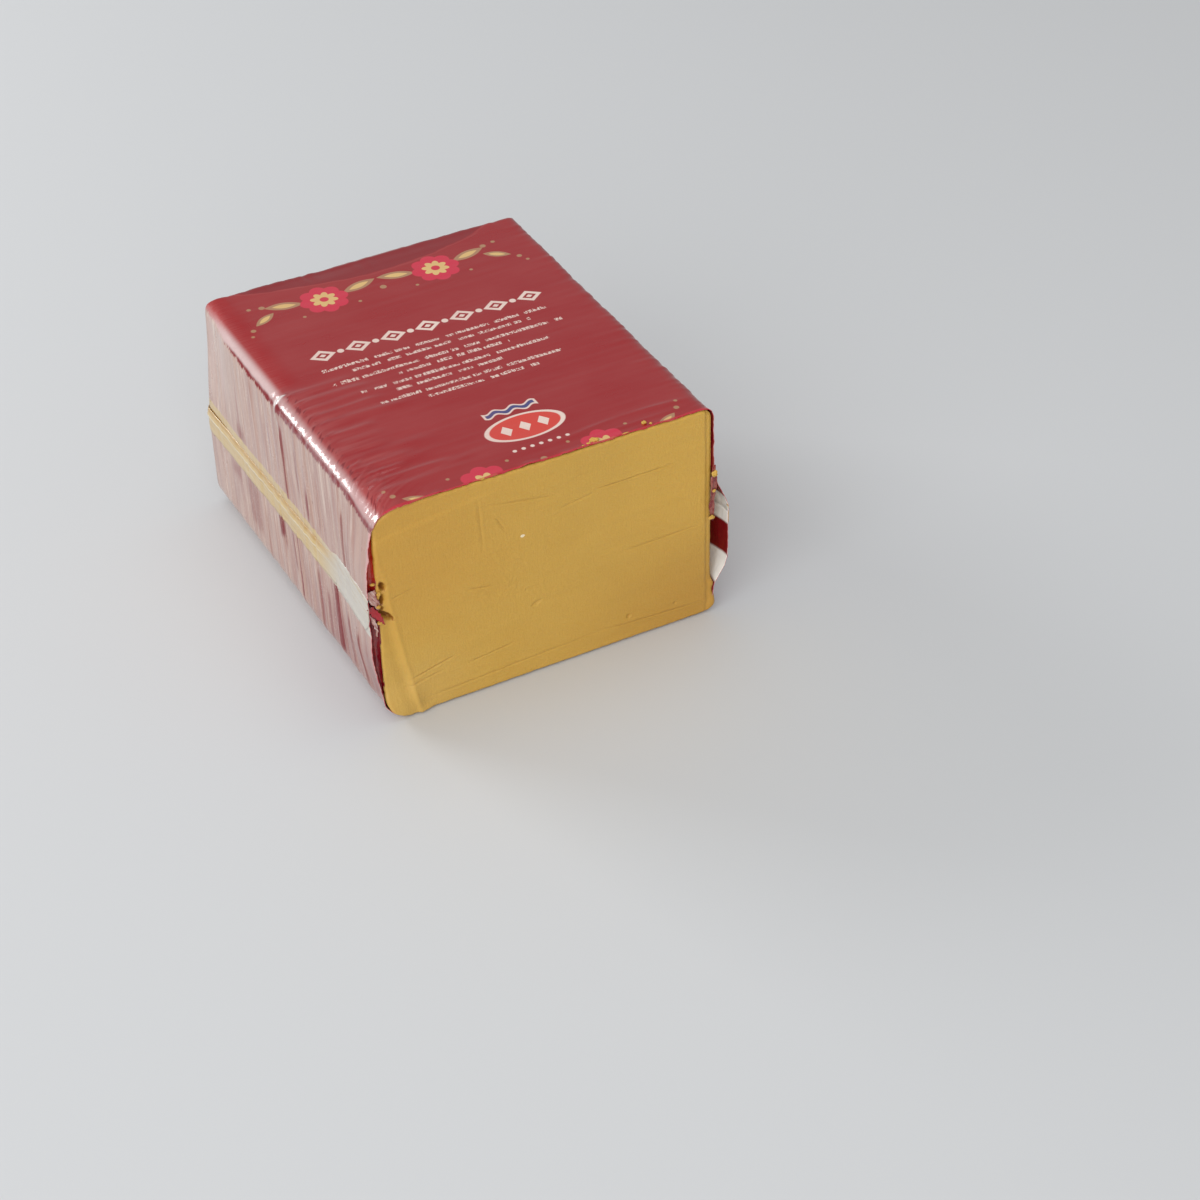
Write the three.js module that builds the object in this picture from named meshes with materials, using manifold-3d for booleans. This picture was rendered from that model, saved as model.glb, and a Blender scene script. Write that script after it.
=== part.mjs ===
// A block of brown whey cheese in its printed film, with the front end cut off.
// Millimetres, +Z up. The origin is the middle of the face that the block rests on.
// The cut face looks along -Y, and the sealed end of the pack along +Y.
import * as THREE from 'three';
import { mergeVertices } from 'three/addons/utils/BufferGeometryUtils.js';
import Module from 'manifold-3d';

const wasm = await Module();
wasm.setup();

// The wrapped block
const PACK_WIDTH = 77.6;
const PACK_HEIGHT = 52.8;
const PACK_LENGTH = 92.6;
const FILM_WALL = 0.35;
const FILM_GAP = 0.3;
const FILM_SETBACK = 0.4;

// Rounding of the long edges, and of the edges and upright corners of the sealed end
const TOP_LEFT_RADIUS_FRONT = 3.4;
const TOP_LEFT_RADIUS_BACK = 2.6;
const TOP_RIGHT_RADIUS = 2.4;
const BOTTOM_LEFT_RADIUS = 6.4;
const BOTTOM_RIGHT_RADIUS = 2.0;
const BACK_RADIUS = 2.2;
const SMALLEST_RADIUS = 0.4;

// The top falls away towards its left edge, most of all beside the cut
const SHOULDER = { depth: 2.4, run: 6.5, length: 14, rest: 0.1, curve: 1.4 };

// The left wall leans in towards the upper corner of the sealed end
const TUCK = { reach: 2.0, length: 22, low: 18.5 };

// The film stands off the cheese beside the cut, further on the right side
const LEFT_FLARE = { reach: 1.9, length: 24, low: 5, full: [17, 36], high: 49.5 };
const RIGHT_FLARE = { reach: 3.9, length: 17, low: 5, full: [14, 25], high: 38 };
const WALL_ZONE = [0.9, 0.97];
const SIDE_WAVE = { height: 0.12, pitch: 17, lean: 9 };

// The folded seal between the upper and the lower film
const SEAM_HEIGHT = 25.4;
const BAND_LOW = 20.4;
const BAND_HIGH = 28.4;
const BAND_RIDGE = 24.4;
const BAND_GROOVE = 26.0;
const BAND_RIDGE_HEIGHT = 0.95;
const BAND_THICKNESS = 0.45;
const BAND_SWELL = 0.15;
const BAND_DIP = 0.15;
const BAND_MARGIN_SWELL = 0.1;
const BAND_FRINGE = { height: 0.45, step: 2.4 };
const BAND_LIFT = { reach: 0.9, length: 9 };
const BAND_RISE = { height: 1.9, from: 50, to: -26 };
const BAND_CORNER_RISE = { height: 1.6, from: -22, to: -42 };

// Steps of the mesh
const COLUMNS = { left: 4, middle: 10, right: 3 };
const ROWS = { bottom: 4, middle: 7, top: 4 };
const BACK_STEPS = 3;
const STATIONS = [4, 8, 12, 17, 23, 31, 40, 50, 60, 70, 80];
const BAND_STEP = 4.2;
const BAND_CORNER_STEPS = 4;
const WELD_DISTANCE = 1e-4;

// How far a tool solid runs past the surface that it cuts
const OVERRUN = 5;

// The marks that the knife left on the cut face, as x and z on that face
const CUT_WAVE = { depth: 0.14, wide: [9, 11], fine: [4, 6], share: 0.5 };
const LEFT_LEDGE = { from: [-37.6, 38], to: [-32.6, 7.5], width: 12, depth: 0.4 };
const TOP_LEDGE = { from: [-41, 45.0], to: [-13, 49.6], width: 12, depth: 0.22 };
const RIGHT_LEDGE = { x: 37.1, low: 9, width: 8, depth: 0.45 };
const SCRATCH_WIDTH = 0.5;
const SCRATCH_OFFSET = 0.08;
const SCRATCHES = [
  { from: [-32.6, 9.3], to: [-21.9, 11.8] },
  { from: [-19.3, 8.6], to: [-8.5, 10.1] },
  { from: [11.0, 41.7], to: [29.3, 41.9] },
  { from: [17.1, 23.9], to: [35.5, 24.2] },
  { from: [-31.4, 3.3], to: [12.2, 5.1] },
  { from: [12.2, 5.1], to: [36.2, 3.6] },
];
const PITS = [
  { at: [-37.5, 34.6], size: [0.9, 1.5, 1.5] },
  { at: [-37.9, 31.3], size: [0.8, 1.1, 0.8] },
  { at: [-36.9, 27.3], size: [2.2, 1.9, 0.9], turn: 0.75 },
  { at: [-38.6, 28.9], size: [1.3, 1.6, 1.0] },
  { at: [-3.2, 18.1], size: [1.4, 0.4, 0.5], turn: -0.25 },
  { at: [18.2, 6.4], size: [0.5, 0.35, 0.6] },
];

// Cheese that the knife dragged past the edges of the cut face
const CORNER_BULGE = { reach: 1.1, x: [-28.5, -33.5], z: [9.5, 4.0] };
const LOBES = [
  { at: [-29.4, 1.7], size: [1.9, 0.55, 0.75], root: 0.45 },
  { at: [38.6, 7.4], size: [1.35, 0.42, 1.0], root: 0.3 },
  { at: [38.5, 3.2], size: [1.2, 0.42, 2.5], root: 0.3 },
];
const LOBE_ROUGHNESS = 0.12;

const cheeseInset = FILM_WALL + FILM_GAP;
const packFront = -PACK_LENGTH / 2;
const packBack = PACK_LENGTH / 2;
const halfWidth = PACK_WIDTH / 2;

function smoothStep(low, high, value) {
  const t = Math.min(Math.max((value - low) / (high - low), 0), 1);
  return t * t * (3 - 2 * t);
}

// A repeatable random number from 0 to 1
function makeRandom(seed) {
  let state = seed;
  return () => {
    state = (state * 1664525 + 1013904223) % 4294967296;
    return state / 4294967296;
  };
}

// How far the film stands off the cheese at one place of a side wall
function flareAt(flare, y, z) {
  const along = 1 - smoothStep(0, flare.length, y - packFront);
  const rise = smoothStep(flare.low, flare.full[0], z);
  const fall = 1 - smoothStep(flare.full[1], flare.high, z);
  return flare.reach * along * rise * fall;
}

function sideWave(y, z) {
  const phase = (2 * Math.PI * y) / SIDE_WAVE.pitch;
  const middle = Math.sin((Math.PI * z) / PACK_HEIGHT);
  return SIDE_WAVE.height * (1 + Math.sin(phase + z / SIDE_WAVE.lean)) * middle;
}

// The side film's shift in x, from the cheese to where it really lies
function filmShift(x, y, z) {
  const share = smoothStep(WALL_ZONE[0], WALL_ZONE[1], Math.abs(x) / halfWidth);
  const flare = x < 0 ? LEFT_FLARE : RIGHT_FLARE;
  return Math.sign(x) * share * (flareAt(flare, y, z) + sideWave(y, z));
}

// Places of the mesh lines across the section, close together in the rounded corners
function lines(low, high, lowZone, highZone, counts) {
  const places = [];
  for (let i = 0; i < counts[0]; i += 1) {
    places.push(low + (lowZone * i) / counts[0]);
  }
  const span = high - low - lowZone - highZone;
  for (let i = 0; i < counts[1]; i += 1) {
    places.push(low + lowZone + (span * i) / counts[1]);
  }
  for (let i = 0; i <= counts[2]; i += 1) {
    places.push(high - highZone + (highZone * i) / counts[2]);
  }
  return places;
}

function cornerRadius(x, z, y) {
  if (x > 0) {
    return z > PACK_HEIGHT / 2 ? TOP_RIGHT_RADIUS : BOTTOM_RIGHT_RADIUS;
  }
  if (z < PACK_HEIGHT / 2) {
    return BOTTOM_LEFT_RADIUS;
  }
  const t = smoothStep(packFront, packBack, y);
  return TOP_LEFT_RADIUS_FRONT + t * (TOP_LEFT_RADIUS_BACK - TOP_LEFT_RADIUS_FRONT);
}

// How far the top lies below its full height at one place
function shoulderAt(x, y) {
  const front = 1 - smoothStep(0, SHOULDER.length, y - packFront);
  const deep = SHOULDER.depth * (SHOULDER.rest + (1 - SHOULDER.rest) * front);
  const share = Math.min(Math.max((SHOULDER.run - halfWidth - x) / SHOULDER.run, 0), 1);
  return deep * share ** SHOULDER.curve;
}

// How far the left side lies in from its full width at one place
function tuckAt(x, y, z) {
  if (x > 0) {
    return 0;
  }
  const along = smoothStep(packBack - TUCK.length, packBack, y);
  const share = along * smoothStep(TUCK.low, PACK_HEIGHT, z);
  return (TUCK.reach * share * -x) / halfWidth;
}

// Moves a point of the square-cornered section into the rounded one, shrunk by an inset
function roundedPoint(x, z, y, inset) {
  const half = { x: halfWidth - inset, z: PACK_HEIGHT / 2 - inset };
  const scaled = { x: (x / halfWidth) * half.x, z: (z / (PACK_HEIGHT / 2) - 1) * half.z };
  const radius = Math.max(cornerRadius(x, z, y) - inset, SMALLEST_RADIUS);
  const over = {
    x: Math.abs(scaled.x) - (half.x - radius),
    z: Math.abs(scaled.z) - (half.z - radius),
  };
  if (over.x > 0 && over.z > 0) {
    const pull = Math.max(over.x, over.z) / Math.hypot(over.x, over.z);
    scaled.x = Math.sign(scaled.x) * (half.x - radius + over.x * pull);
    scaled.z = Math.sign(scaled.z) * (half.z - radius + over.z * pull);
  }
  const height = scaled.z + PACK_HEIGHT / 2;
  const drop = shoulderAt(scaled.x, y) * Math.max(scaled.z / half.z, 0);
  return [scaled.x + tuckAt(scaled.x, y, height), height - drop];
}

// A closed block along Y with the pack's section, open to a shift of every point
function blockSolid({ inset, front, shift }) {
  const columns = lines(-halfWidth, halfWidth, BOTTOM_LEFT_RADIUS, TOP_RIGHT_RADIUS,
    [COLUMNS.left, COLUMNS.middle, COLUMNS.right]);
  const rows = lines(0, PACK_HEIGHT, BOTTOM_LEFT_RADIUS, TOP_LEFT_RADIUS_FRONT,
    [ROWS.bottom, ROWS.middle, ROWS.top]);
  const back = packBack - inset;
  const backRadius = BACK_RADIUS - inset;

  const layers = [{ y: front, inset }];
  for (const distance of STATIONS) {
    layers.push({ y: packFront + distance, inset });
  }
  for (let i = 0; i <= BACK_STEPS; i += 1) {
    const angle = (Math.PI / 2) * (i / BACK_STEPS);
    layers.push({
      y: back - backRadius * (1 - Math.sin(angle)),
      inset: inset + backRadius * (1 - Math.cos(angle)),
    });
  }

  const lastColumn = columns.length - 1;
  const lastRow = rows.length - 1;
  const ring = [];
  for (let i = 0; i < lastColumn; i += 1) {
    ring.push([i, 0]);
  }
  for (let j = 0; j < lastRow; j += 1) {
    ring.push([lastColumn, j]);
  }
  for (let i = lastColumn; i > 0; i -= 1) {
    ring.push([i, lastRow]);
  }
  for (let j = lastRow; j > 0; j -= 1) {
    ring.push([0, j]);
  }

  const point = ([i, j], layer) => {
    const [x, z] = roundedPoint(columns[i], rows[j], layer.y, layer.inset);
    return shift(x, layer.y, z, layer.y === front);
  };
  const triangles = [];
  const quad = (a, b, c, d) => triangles.push(a, c, b, a, d, c);
  for (let k = 0; k + 1 < layers.length; k += 1) {
    for (let n = 0; n < ring.length; n += 1) {
      const next = ring[(n + 1) % ring.length];
      quad(point(ring[n], layers[k]), point(next, layers[k]),
        point(next, layers[k + 1]), point(ring[n], layers[k + 1]));
    }
  }
  const first = layers[0];
  const last = layers[layers.length - 1];
  for (let i = 0; i < lastColumn; i += 1) {
    for (let j = 0; j < lastRow; j += 1) {
      quad(point([i, j], first), point([i, j + 1], first),
        point([i + 1, j + 1], first), point([i + 1, j], first));
      quad(point([i, j], last), point([i + 1, j], last),
        point([i + 1, j + 1], last), point([i, j + 1], last));
    }
  }
  return solidFromTriangles(triangles);
}

function solidFromTriangles(points) {
  const geometry = new THREE.BufferGeometry();
  geometry.setAttribute('position', new THREE.Float32BufferAttribute(points.flat(), 3));
  return solidFromGeometry(geometry);
}

function solidFromGeometry(geometry) {
  const bare = geometry.index ? geometry.toNonIndexed() : geometry.clone();
  bare.deleteAttribute('normal');
  bare.deleteAttribute('uv');
  const merged = mergeVertices(bare, WELD_DISTANCE);
  return new wasm.Manifold(new wasm.Mesh({
    numProp: 3,
    vertProperties: new Float32Array(merged.attributes.position.array),
    triVerts: new Uint32Array(merged.index.array),
  }));
}

function meshFromSolid(name, solid, material) {
  const result = solid.getMesh();
  const geometry = new THREE.BufferGeometry();
  geometry.setAttribute('position', new THREE.BufferAttribute(result.vertProperties, 3));
  geometry.setIndex(new THREE.BufferAttribute(result.triVerts, 1));
  geometry.computeVertexNormals();
  const mesh = new THREE.Mesh(geometry, material);
  mesh.name = name;
  return mesh;
}

// A box on the cut face, with its long side on a line from one point to another.
// Side 1 puts it to the left of the way along that line, and side -1 to the right.
function faceBox(from, to, width, depth, side) {
  const run = [to[0] - from[0], to[1] - from[1]];
  const length = Math.hypot(run[0], run[1]);
  const box = new THREE.BoxGeometry(length, 2 * depth, width);
  box.translate(0, 0, (side * width) / 2);
  box.rotateY(-Math.atan2(run[1], run[0]));
  box.translate((from[0] + to[0]) / 2, packFront, (from[1] + to[1]) / 2);
  return solidFromGeometry(box);
}

// A shallow V groove along a line of the cut face
function scratchSolid({ from, to }) {
  const run = [to[0] - from[0], to[1] - from[1]];
  const groove = new THREE.BoxGeometry(Math.hypot(run[0], run[1]), SCRATCH_WIDTH, SCRATCH_WIDTH);
  groove.rotateX(Math.PI / 4);
  groove.rotateY(-Math.atan2(run[1], run[0]));
  groove.translate((from[0] + to[0]) / 2, packFront - SCRATCH_OFFSET, (from[1] + to[1]) / 2);
  return solidFromGeometry(groove);
}

// An uneven pebble form, for pits and for dragged lobes of cheese
function pebbleSolid({ at, size, turn = 0 }, y, random) {
  const pebble = new THREE.IcosahedronGeometry(1, 1);
  const places = pebble.attributes.position;
  const pushes = new Map();
  for (let i = 0; i < places.count; i += 1) {
    const corner = new THREE.Vector3().fromBufferAttribute(places, i);
    const key = corner.toArray().map((value) => value.toFixed(3)).join();
    if (!pushes.has(key)) {
      pushes.set(key, 1 + LOBE_ROUGHNESS * (2 * random() - 1));
    }
    corner.multiplyScalar(pushes.get(key)).multiply(new THREE.Vector3(...size));
    places.setXYZ(i, corner.x, corner.y, corner.z);
  }
  pebble.rotateY(turn);
  pebble.translate(at[0], y, at[1]);
  return solidFromGeometry(pebble);
}

// The cheese: one solid block, its cut face with the knife's ledges, scratches and pits
function makeCheese() {
  const random = makeRandom(7);
  const waved = (x, y, z, onCut) => {
    const wide = Math.sin(x / CUT_WAVE.wide[0] + 1) * Math.cos(z / CUT_WAVE.wide[1]);
    const fine = Math.sin(x / CUT_WAVE.fine[0] + z / CUT_WAVE.fine[1]);
    const wave = CUT_WAVE.depth * (wide + CUT_WAVE.share * fine);
    const bulge = smoothStep(...CORNER_BULGE.x, x) * smoothStep(...CORNER_BULGE.z, z);
    return [x, onCut ? y + wave - CORNER_BULGE.reach * bulge : y, z];
  };
  let cheese = blockSolid({ inset: cheeseInset, front: packFront, shift: waved });
  cheese = cheese.subtract(
    faceBox(LEFT_LEDGE.from, LEFT_LEDGE.to, LEFT_LEDGE.width, LEFT_LEDGE.depth, -1));
  cheese = cheese.subtract(
    faceBox(TOP_LEDGE.from, TOP_LEDGE.to, TOP_LEDGE.width, TOP_LEDGE.depth, 1));
  cheese = cheese.subtract(faceBox([RIGHT_LEDGE.x, RIGHT_LEDGE.low],
    [RIGHT_LEDGE.x, PACK_HEIGHT + OVERRUN], RIGHT_LEDGE.width, RIGHT_LEDGE.depth, -1));
  for (const scratch of SCRATCHES) {
    cheese = cheese.subtract(scratchSolid(scratch));
  }
  for (const lobe of LOBES) {
    const y = packFront + lobe.root - lobe.size[1] * (1 + LOBE_ROUGHNESS);
    cheese = cheese.add(pebbleSolid(lobe, y, random));
  }
  for (const pit of PITS) {
    cheese = cheese.subtract(pebbleSolid(pit, packFront, random));
  }
  return cheese;
}

// Half of the film: a thin shell round the block, open at the cut, above or below the seam
function makeFilm(low, high) {
  const shift = (x, y, z) => [x + filmShift(x, y, z), y, z];
  const front = packFront + FILM_SETBACK;
  const outside = blockSolid({ inset: 0, front, shift });
  const inside = blockSolid({ inset: FILM_WALL, front: packFront - OVERRUN, shift });
  const half = new THREE.BoxGeometry(2 * PACK_WIDTH, 2 * PACK_LENGTH, high - low);
  half.translate(0, 0, (low + high) / 2);
  return outside.subtract(inside).intersect(solidFromGeometry(half));
}

// The stations of the seal, from the left end of the cut round the back to the right end
function bandPath() {
  const front = packFront + FILM_SETBACK;
  const straight = packBack - BACK_RADIUS;
  const sideSteps = Math.round((straight - front) / BAND_STEP);
  const backSteps = Math.round((2 * (halfWidth - BACK_RADIUS)) / BAND_STEP);
  const left = [];
  for (let i = 0; i < sideSteps; i += 1) {
    left.push({ x: -halfWidth, y: front + ((straight - front) * i) / sideSteps, nx: -1, ny: 0 });
  }
  for (let i = 0; i < BAND_CORNER_STEPS; i += 1) {
    const angle = (Math.PI / 2) * (i / BAND_CORNER_STEPS);
    const nx = -Math.cos(angle);
    const ny = Math.sin(angle);
    left.push({
      x: -halfWidth + BACK_RADIUS + nx * BACK_RADIUS,
      y: straight + ny * BACK_RADIUS,
      nx,
      ny,
    });
  }
  const right = left.map((p) => ({ ...p, x: -p.x, nx: -p.nx })).reverse();
  const middle = [];
  for (let i = 0; i <= backSteps; i += 1) {
    const x = (halfWidth - BACK_RADIUS) * ((2 * i) / backSteps - 1);
    middle.push({ x, y: packBack, nx: 0, ny: 1 });
  }
  return [...left, ...middle, ...right];
}

// The seal's section: its stand-off from the film and its height, going round it
function bandSection() {
  const skin = FILM_GAP + BAND_THICKNESS;
  return [
    [FILM_GAP, BAND_LOW],
    [skin, BAND_LOW],
    [skin + BAND_SWELL, (BAND_LOW + BAND_RIDGE) / 2],
    [FILM_GAP + BAND_RIDGE_HEIGHT, BAND_RIDGE],
    [skin - BAND_DIP, BAND_GROOVE],
    [skin + BAND_MARGIN_SWELL, (BAND_GROOVE + BAND_HIGH) / 2],
    [skin, BAND_HIGH],
    [FILM_GAP, BAND_HIGH],
    [FILM_GAP, (BAND_LOW + BAND_HIGH) / 2],
  ];
}

// How far the seal climbs towards the cut, and once more at its left corner
function bandRise(x, y) {
  const side = BAND_RISE.height * smoothStep(BAND_RISE.from, BAND_RISE.to, y);
  const corner = smoothStep(BAND_CORNER_RISE.from, BAND_CORNER_RISE.to, y);
  return side + (x < 0 ? BAND_CORNER_RISE.height * corner : 0);
}

// The seal: the films' plain margins, welded into a fin and folded down round the pack
function makeBand() {
  const section = bandSection();
  const loops = bandPath().map((station, index) => section.map(([off, height]) => {
    const edge = (BAND_HIGH - height) / (BAND_HIGH - BAND_LOW);
    const fringe = edge * BAND_FRINGE.height * Math.sin(index * BAND_FRINGE.step);
    const z = height + fringe + bandRise(station.x, station.y);
    const lift = BAND_LIFT.reach * edge
      * (1 - smoothStep(0, BAND_LIFT.length, station.y - packFront));
    const out = off + lift;
    const stand = filmShift(station.x, station.y, z) + tuckAt(station.x, station.y, z);
    return [station.x + station.nx * out + stand, station.y + station.ny * out, z];
  }));
  const triangles = [];
  for (let k = 0; k + 1 < loops.length; k += 1) {
    for (let n = 0; n < section.length; n += 1) {
      const m = (n + 1) % section.length;
      triangles.push(loops[k][n], loops[k][m], loops[k + 1][m]);
      triangles.push(loops[k][n], loops[k + 1][m], loops[k + 1][n]);
    }
  }
  const outline = section.map(([off, height]) => new THREE.Vector2(off, height));
  for (const [a, b, c] of THREE.ShapeUtils.triangulateShape(outline, [])) {
    const first = loops[0];
    const last = loops[loops.length - 1];
    triangles.push(first[a], first[c], first[b]);
    triangles.push(last[a], last[b], last[c]);
  }
  return solidFromTriangles(triangles);
}

const cheeseMaterial = new THREE.MeshStandardMaterial({
  color: 0xc19a4c, roughness: 0.55, metalness: 0,
});
const filmMaterial = new THREE.MeshStandardMaterial({
  color: 0x9a3a42, roughness: 0.3, metalness: 0,
});
const sealMaterial = new THREE.MeshStandardMaterial({
  color: 0xd6c39c, roughness: 0.35, metalness: 0,
});

const seamHalfGap = FILM_GAP / 2;
const group = new THREE.Group();
group.add(meshFromSolid('cheese', makeCheese(), cheeseMaterial));
group.add(meshFromSolid('film_upper',
  makeFilm(SEAM_HEIGHT + seamHalfGap, PACK_HEIGHT + OVERRUN), filmMaterial));
group.add(meshFromSolid('film_lower',
  makeFilm(-OVERRUN, SEAM_HEIGHT - seamHalfGap), filmMaterial));
group.add(meshFromSolid('seal_band', makeBand(), sealMaterial));

export default group;
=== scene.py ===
"""A block of brown whey cheese in its printed film, with the front end cut off.

The pieces follow in the order in which the pack is made: the cheese, the lower and the
upper film, the folded seal, and what the knife left loose. Lengths are in millimetres
until a mesh is written, and the frame's axes are those of the solids.
"""
import math

import bpy
import numpy as np
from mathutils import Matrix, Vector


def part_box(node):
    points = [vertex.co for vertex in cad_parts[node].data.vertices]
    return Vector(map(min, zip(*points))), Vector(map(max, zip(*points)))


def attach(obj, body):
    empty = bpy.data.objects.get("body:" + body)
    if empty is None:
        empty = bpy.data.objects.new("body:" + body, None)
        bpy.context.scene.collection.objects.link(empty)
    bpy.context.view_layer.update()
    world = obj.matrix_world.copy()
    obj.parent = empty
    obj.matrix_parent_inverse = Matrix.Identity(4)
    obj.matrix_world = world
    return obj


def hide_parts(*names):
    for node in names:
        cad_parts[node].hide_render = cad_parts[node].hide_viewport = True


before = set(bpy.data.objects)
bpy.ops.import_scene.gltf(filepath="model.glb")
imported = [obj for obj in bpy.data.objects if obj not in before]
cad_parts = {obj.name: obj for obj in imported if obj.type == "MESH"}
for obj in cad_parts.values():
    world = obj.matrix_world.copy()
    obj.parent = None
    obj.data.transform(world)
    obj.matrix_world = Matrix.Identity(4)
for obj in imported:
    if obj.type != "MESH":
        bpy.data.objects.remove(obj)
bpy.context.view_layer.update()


# The cheese: whey boiled down to a firm brown paste and cast in a mould, the same all
# through. A knife cut the front end off, and its drag left ledges, scratches and pits.
MM = 0.001
HALF_WIDTH = 38.8
PACK_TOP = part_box("film_upper")[1].z / MM
PACK_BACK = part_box("film_upper")[1].y / MM
CUT = -PACK_BACK
TOP_LEFT_RADII = (3.0, 2.4)
TOP_RIGHT_RADII = (2.8, 1.2)
BOTTOM_LEFT_RADIUS = 6.4
BOTTOM_RIGHT_RADIUS = 2.0
BACK_RADIUS = 1.7
SMALLEST_RADIUS = 0.4
SHOULDER_DEEP = 2.4
SHOULDER_RUN = 6.5
SHOULDER_LENGTH = 14
SHOULDER_REST = 0.1
SHOULDER_CURVE = 1.4
TUCK = 2.0
TUCK_LENGTH = 22
TUCK_FROM = -0.3
CHEESE_INSET = 0.28
CHEESE_GRID = (340, 230)
WALL_STEPS = (0.6, 1.4, 3, 8, 25, 40)
BACK_STEPS = 4
EDGE_ROUND = 0.55
EDGE_DROP = 0.35
RAGGED_RIM = 1.2
LEDGE_FOOT = -31.3
LEDGE_LEAN = 0.163
LEDGE_FADE = (44, 24)
RIGHT_LEDGE = 37.25
TOP_LEDGE = 50.784
TOP_LEDGE_LEAN = 0.135
BULGE = 1.0
BULGE_ACROSS = (-28.5, -33.5)
BULGE_UP = (9.5, 3.5)
# Each scratch: where it starts and ends, its depth and its width.
CUT_SCRATCHES = (
    ((-32.6, 9.3), (-21.9, 11.8), 0.20, 0.17),
    ((-34.0, 7.6), (-24.5, 9.2), 0.12, 0.20),
    ((-19.3, 8.6), (-8.5, 10.1), 0.18, 0.16),
    ((11.0, 41.7), (29.3, 41.9), 0.22, 0.16),
    ((2.0, 40.0), (11.5, 41.2), 0.10, 0.22),
    ((17.1, 23.9), (35.5, 24.2), 0.13, 0.20),
    ((-31.4, 3.3), (12.2, 5.1), 0.12, 0.22),
    ((12.2, 5.1), (36.2, 3.6), 0.16, 0.20),
    ((-15.6, 48.4), (-14.9, 35.8), 0.09, 0.30),
    ((-13.0, 46.2), (2.3, 43.5), 0.12, 0.22),
    ((-11.9, 42.9), (-9.7, 38.7), 0.13, 0.20),
    ((-18.8, 27.3), (-12.4, 26.3), 0.12, 0.22),
    ((-36.0, 31.0), (-30.5, 32.2), 0.10, 0.20),
)
# Each pit: its middle, its half sizes, its turn and its depth.
CUT_PITS = (
    ((-37.4, 34.9), (0.6, 1.35), 0.30, 1.9),
    ((-37.6, 31.2), (0.55, 1.3), -0.1, 1.4),
    ((-36.8, 27.2), (1.9, 0.65), -0.80, 1.9),
    ((-37.9, 29.2), (0.7, 0.6), 0.0, 1.3),
    ((-3.2, 18.1), (1.3, 0.35), 0.3, 0.3),
    ((18.2, 6.4), (0.45, 0.5), 0.0, 0.35),
    ((-5.5, 22.4), (0.4, 0.3), 0.0, 0.2),
    ((29.6, 5.7), (0.5, 0.3), 0.0, 0.2),
)
# Each crumbly patch: where it fades in and out, across and upwards, and its strength.
ROUGH_PATCHES = (
    ((-19, -16), (14, 6), (18, 23), (49, 46), 1.0),
    ((22, 26), (36, 33), (33, 36), (46, 42), 1.0),
    ((-33, -30), (14, 6), (-2, -1), (11, 6), 0.8),
)
# Each lump at the rim: its middle, its sizes, its height and its push sideways.
CUT_LOBES = (
    ((38.9, 7.4), (1.5, 1.2), 0.5, 1.4),
    ((38.8, 3.0), (1.4, 2.8), 0.7, 1.4),
    ((-29.6, 0.7), (1.6, 0.9), 0.6, 0.0),
)
LOBE_FORWARD = 0.7
SALT_PLACE = (-5.9, 36.2)
SALT_SIZE = (0.55, 0.35)


def new_piece(name):
    """The primitive just added, named, with its place put into its mesh."""
    piece = bpy.context.object
    piece.name = piece.data.name = name
    bpy.ops.object.transform_apply(location=True, rotation=True, scale=True)
    return piece


def points_of(piece):
    """The piece's points in millimetres."""
    flat = np.empty(len(piece.data.vertices) * 3)
    piece.data.vertices.foreach_get("co", flat)
    return flat.reshape(-1, 3) / MM


def set_points(piece, points):
    """Moves the piece's points to new places in millimetres."""
    piece.data.vertices.foreach_set("co", (points * MM).ravel())
    piece.data.update()


def ramp(low, high, value):
    """Rises smoothly from 0 at low to 1 at high."""
    t = np.clip((value - low) / (high - low), 0, 1)
    return t * t * (3 - 2 * t)


def ridge(off, wide):
    """1 on a line and falling to 0 beside it, for a ridge or a groove."""
    return np.exp(-(off / wide) ** 2)


def turned(u, v, angle):
    """Coordinates along and across something that is turned by an angle."""
    return u * math.cos(angle) + v * math.sin(angle), v * math.cos(angle) - u * math.sin(angle)


def noise_1d(place, pitch, seed):
    """Smooth random numbers from -1 to 1 along a line."""
    knots = np.random.default_rng(seed).uniform(-1, 1, 1024)
    step = place / pitch + 300
    cell = np.floor(step).astype(int)
    t = ramp(0, 1, step - cell)
    return knots[cell % 1024] * (1 - t) + knots[(cell + 1) % 1024] * t


def noise_2d(a, b, pitch_a, pitch_b, seed):
    """Smooth random numbers from -1 to 1 over a surface."""
    knots = np.random.default_rng(seed).uniform(-1, 1, (512, 512))
    step_a, step_b = a / pitch_a + 200, b / pitch_b + 200
    i, j = np.floor(step_a).astype(int), np.floor(step_b).astype(int)
    s, t = ramp(0, 1, step_a - i), ramp(0, 1, step_b - j)
    i, j = i % 511, j % 511
    low = knots[i, j] * (1 - s) + knots[i + 1, j] * s
    high = knots[i, j + 1] * (1 - s) + knots[i + 1, j + 1] * s
    return low * (1 - t) + high * t


def corner_radius(x, y, z):
    """How round the long edge nearest to each point is."""
    back = ramp(CUT, PACK_BACK, y)
    top_left, top_right = (
        at_cut + back * (at_back - at_cut) for at_cut, at_back in (TOP_LEFT_RADII, TOP_RIGHT_RADII))
    right = np.where(z > PACK_TOP / 2, top_right, BOTTOM_RIGHT_RADIUS)
    left = np.where(z > PACK_TOP / 2, top_left, BOTTOM_LEFT_RADIUS)
    return np.where(x > 0, right, left)


def shoulder(x, y):
    """How far the top falls away towards its left edge beside the cut."""
    share = SHOULDER_REST + (1 - SHOULDER_REST) * ramp(CUT + SHOULDER_LENGTH, CUT, y)
    across = np.clip((SHOULDER_RUN - HALF_WIDTH - x) / SHOULDER_RUN, 0, 1)
    return SHOULDER_DEEP * share * across ** SHOULDER_CURVE


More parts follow.
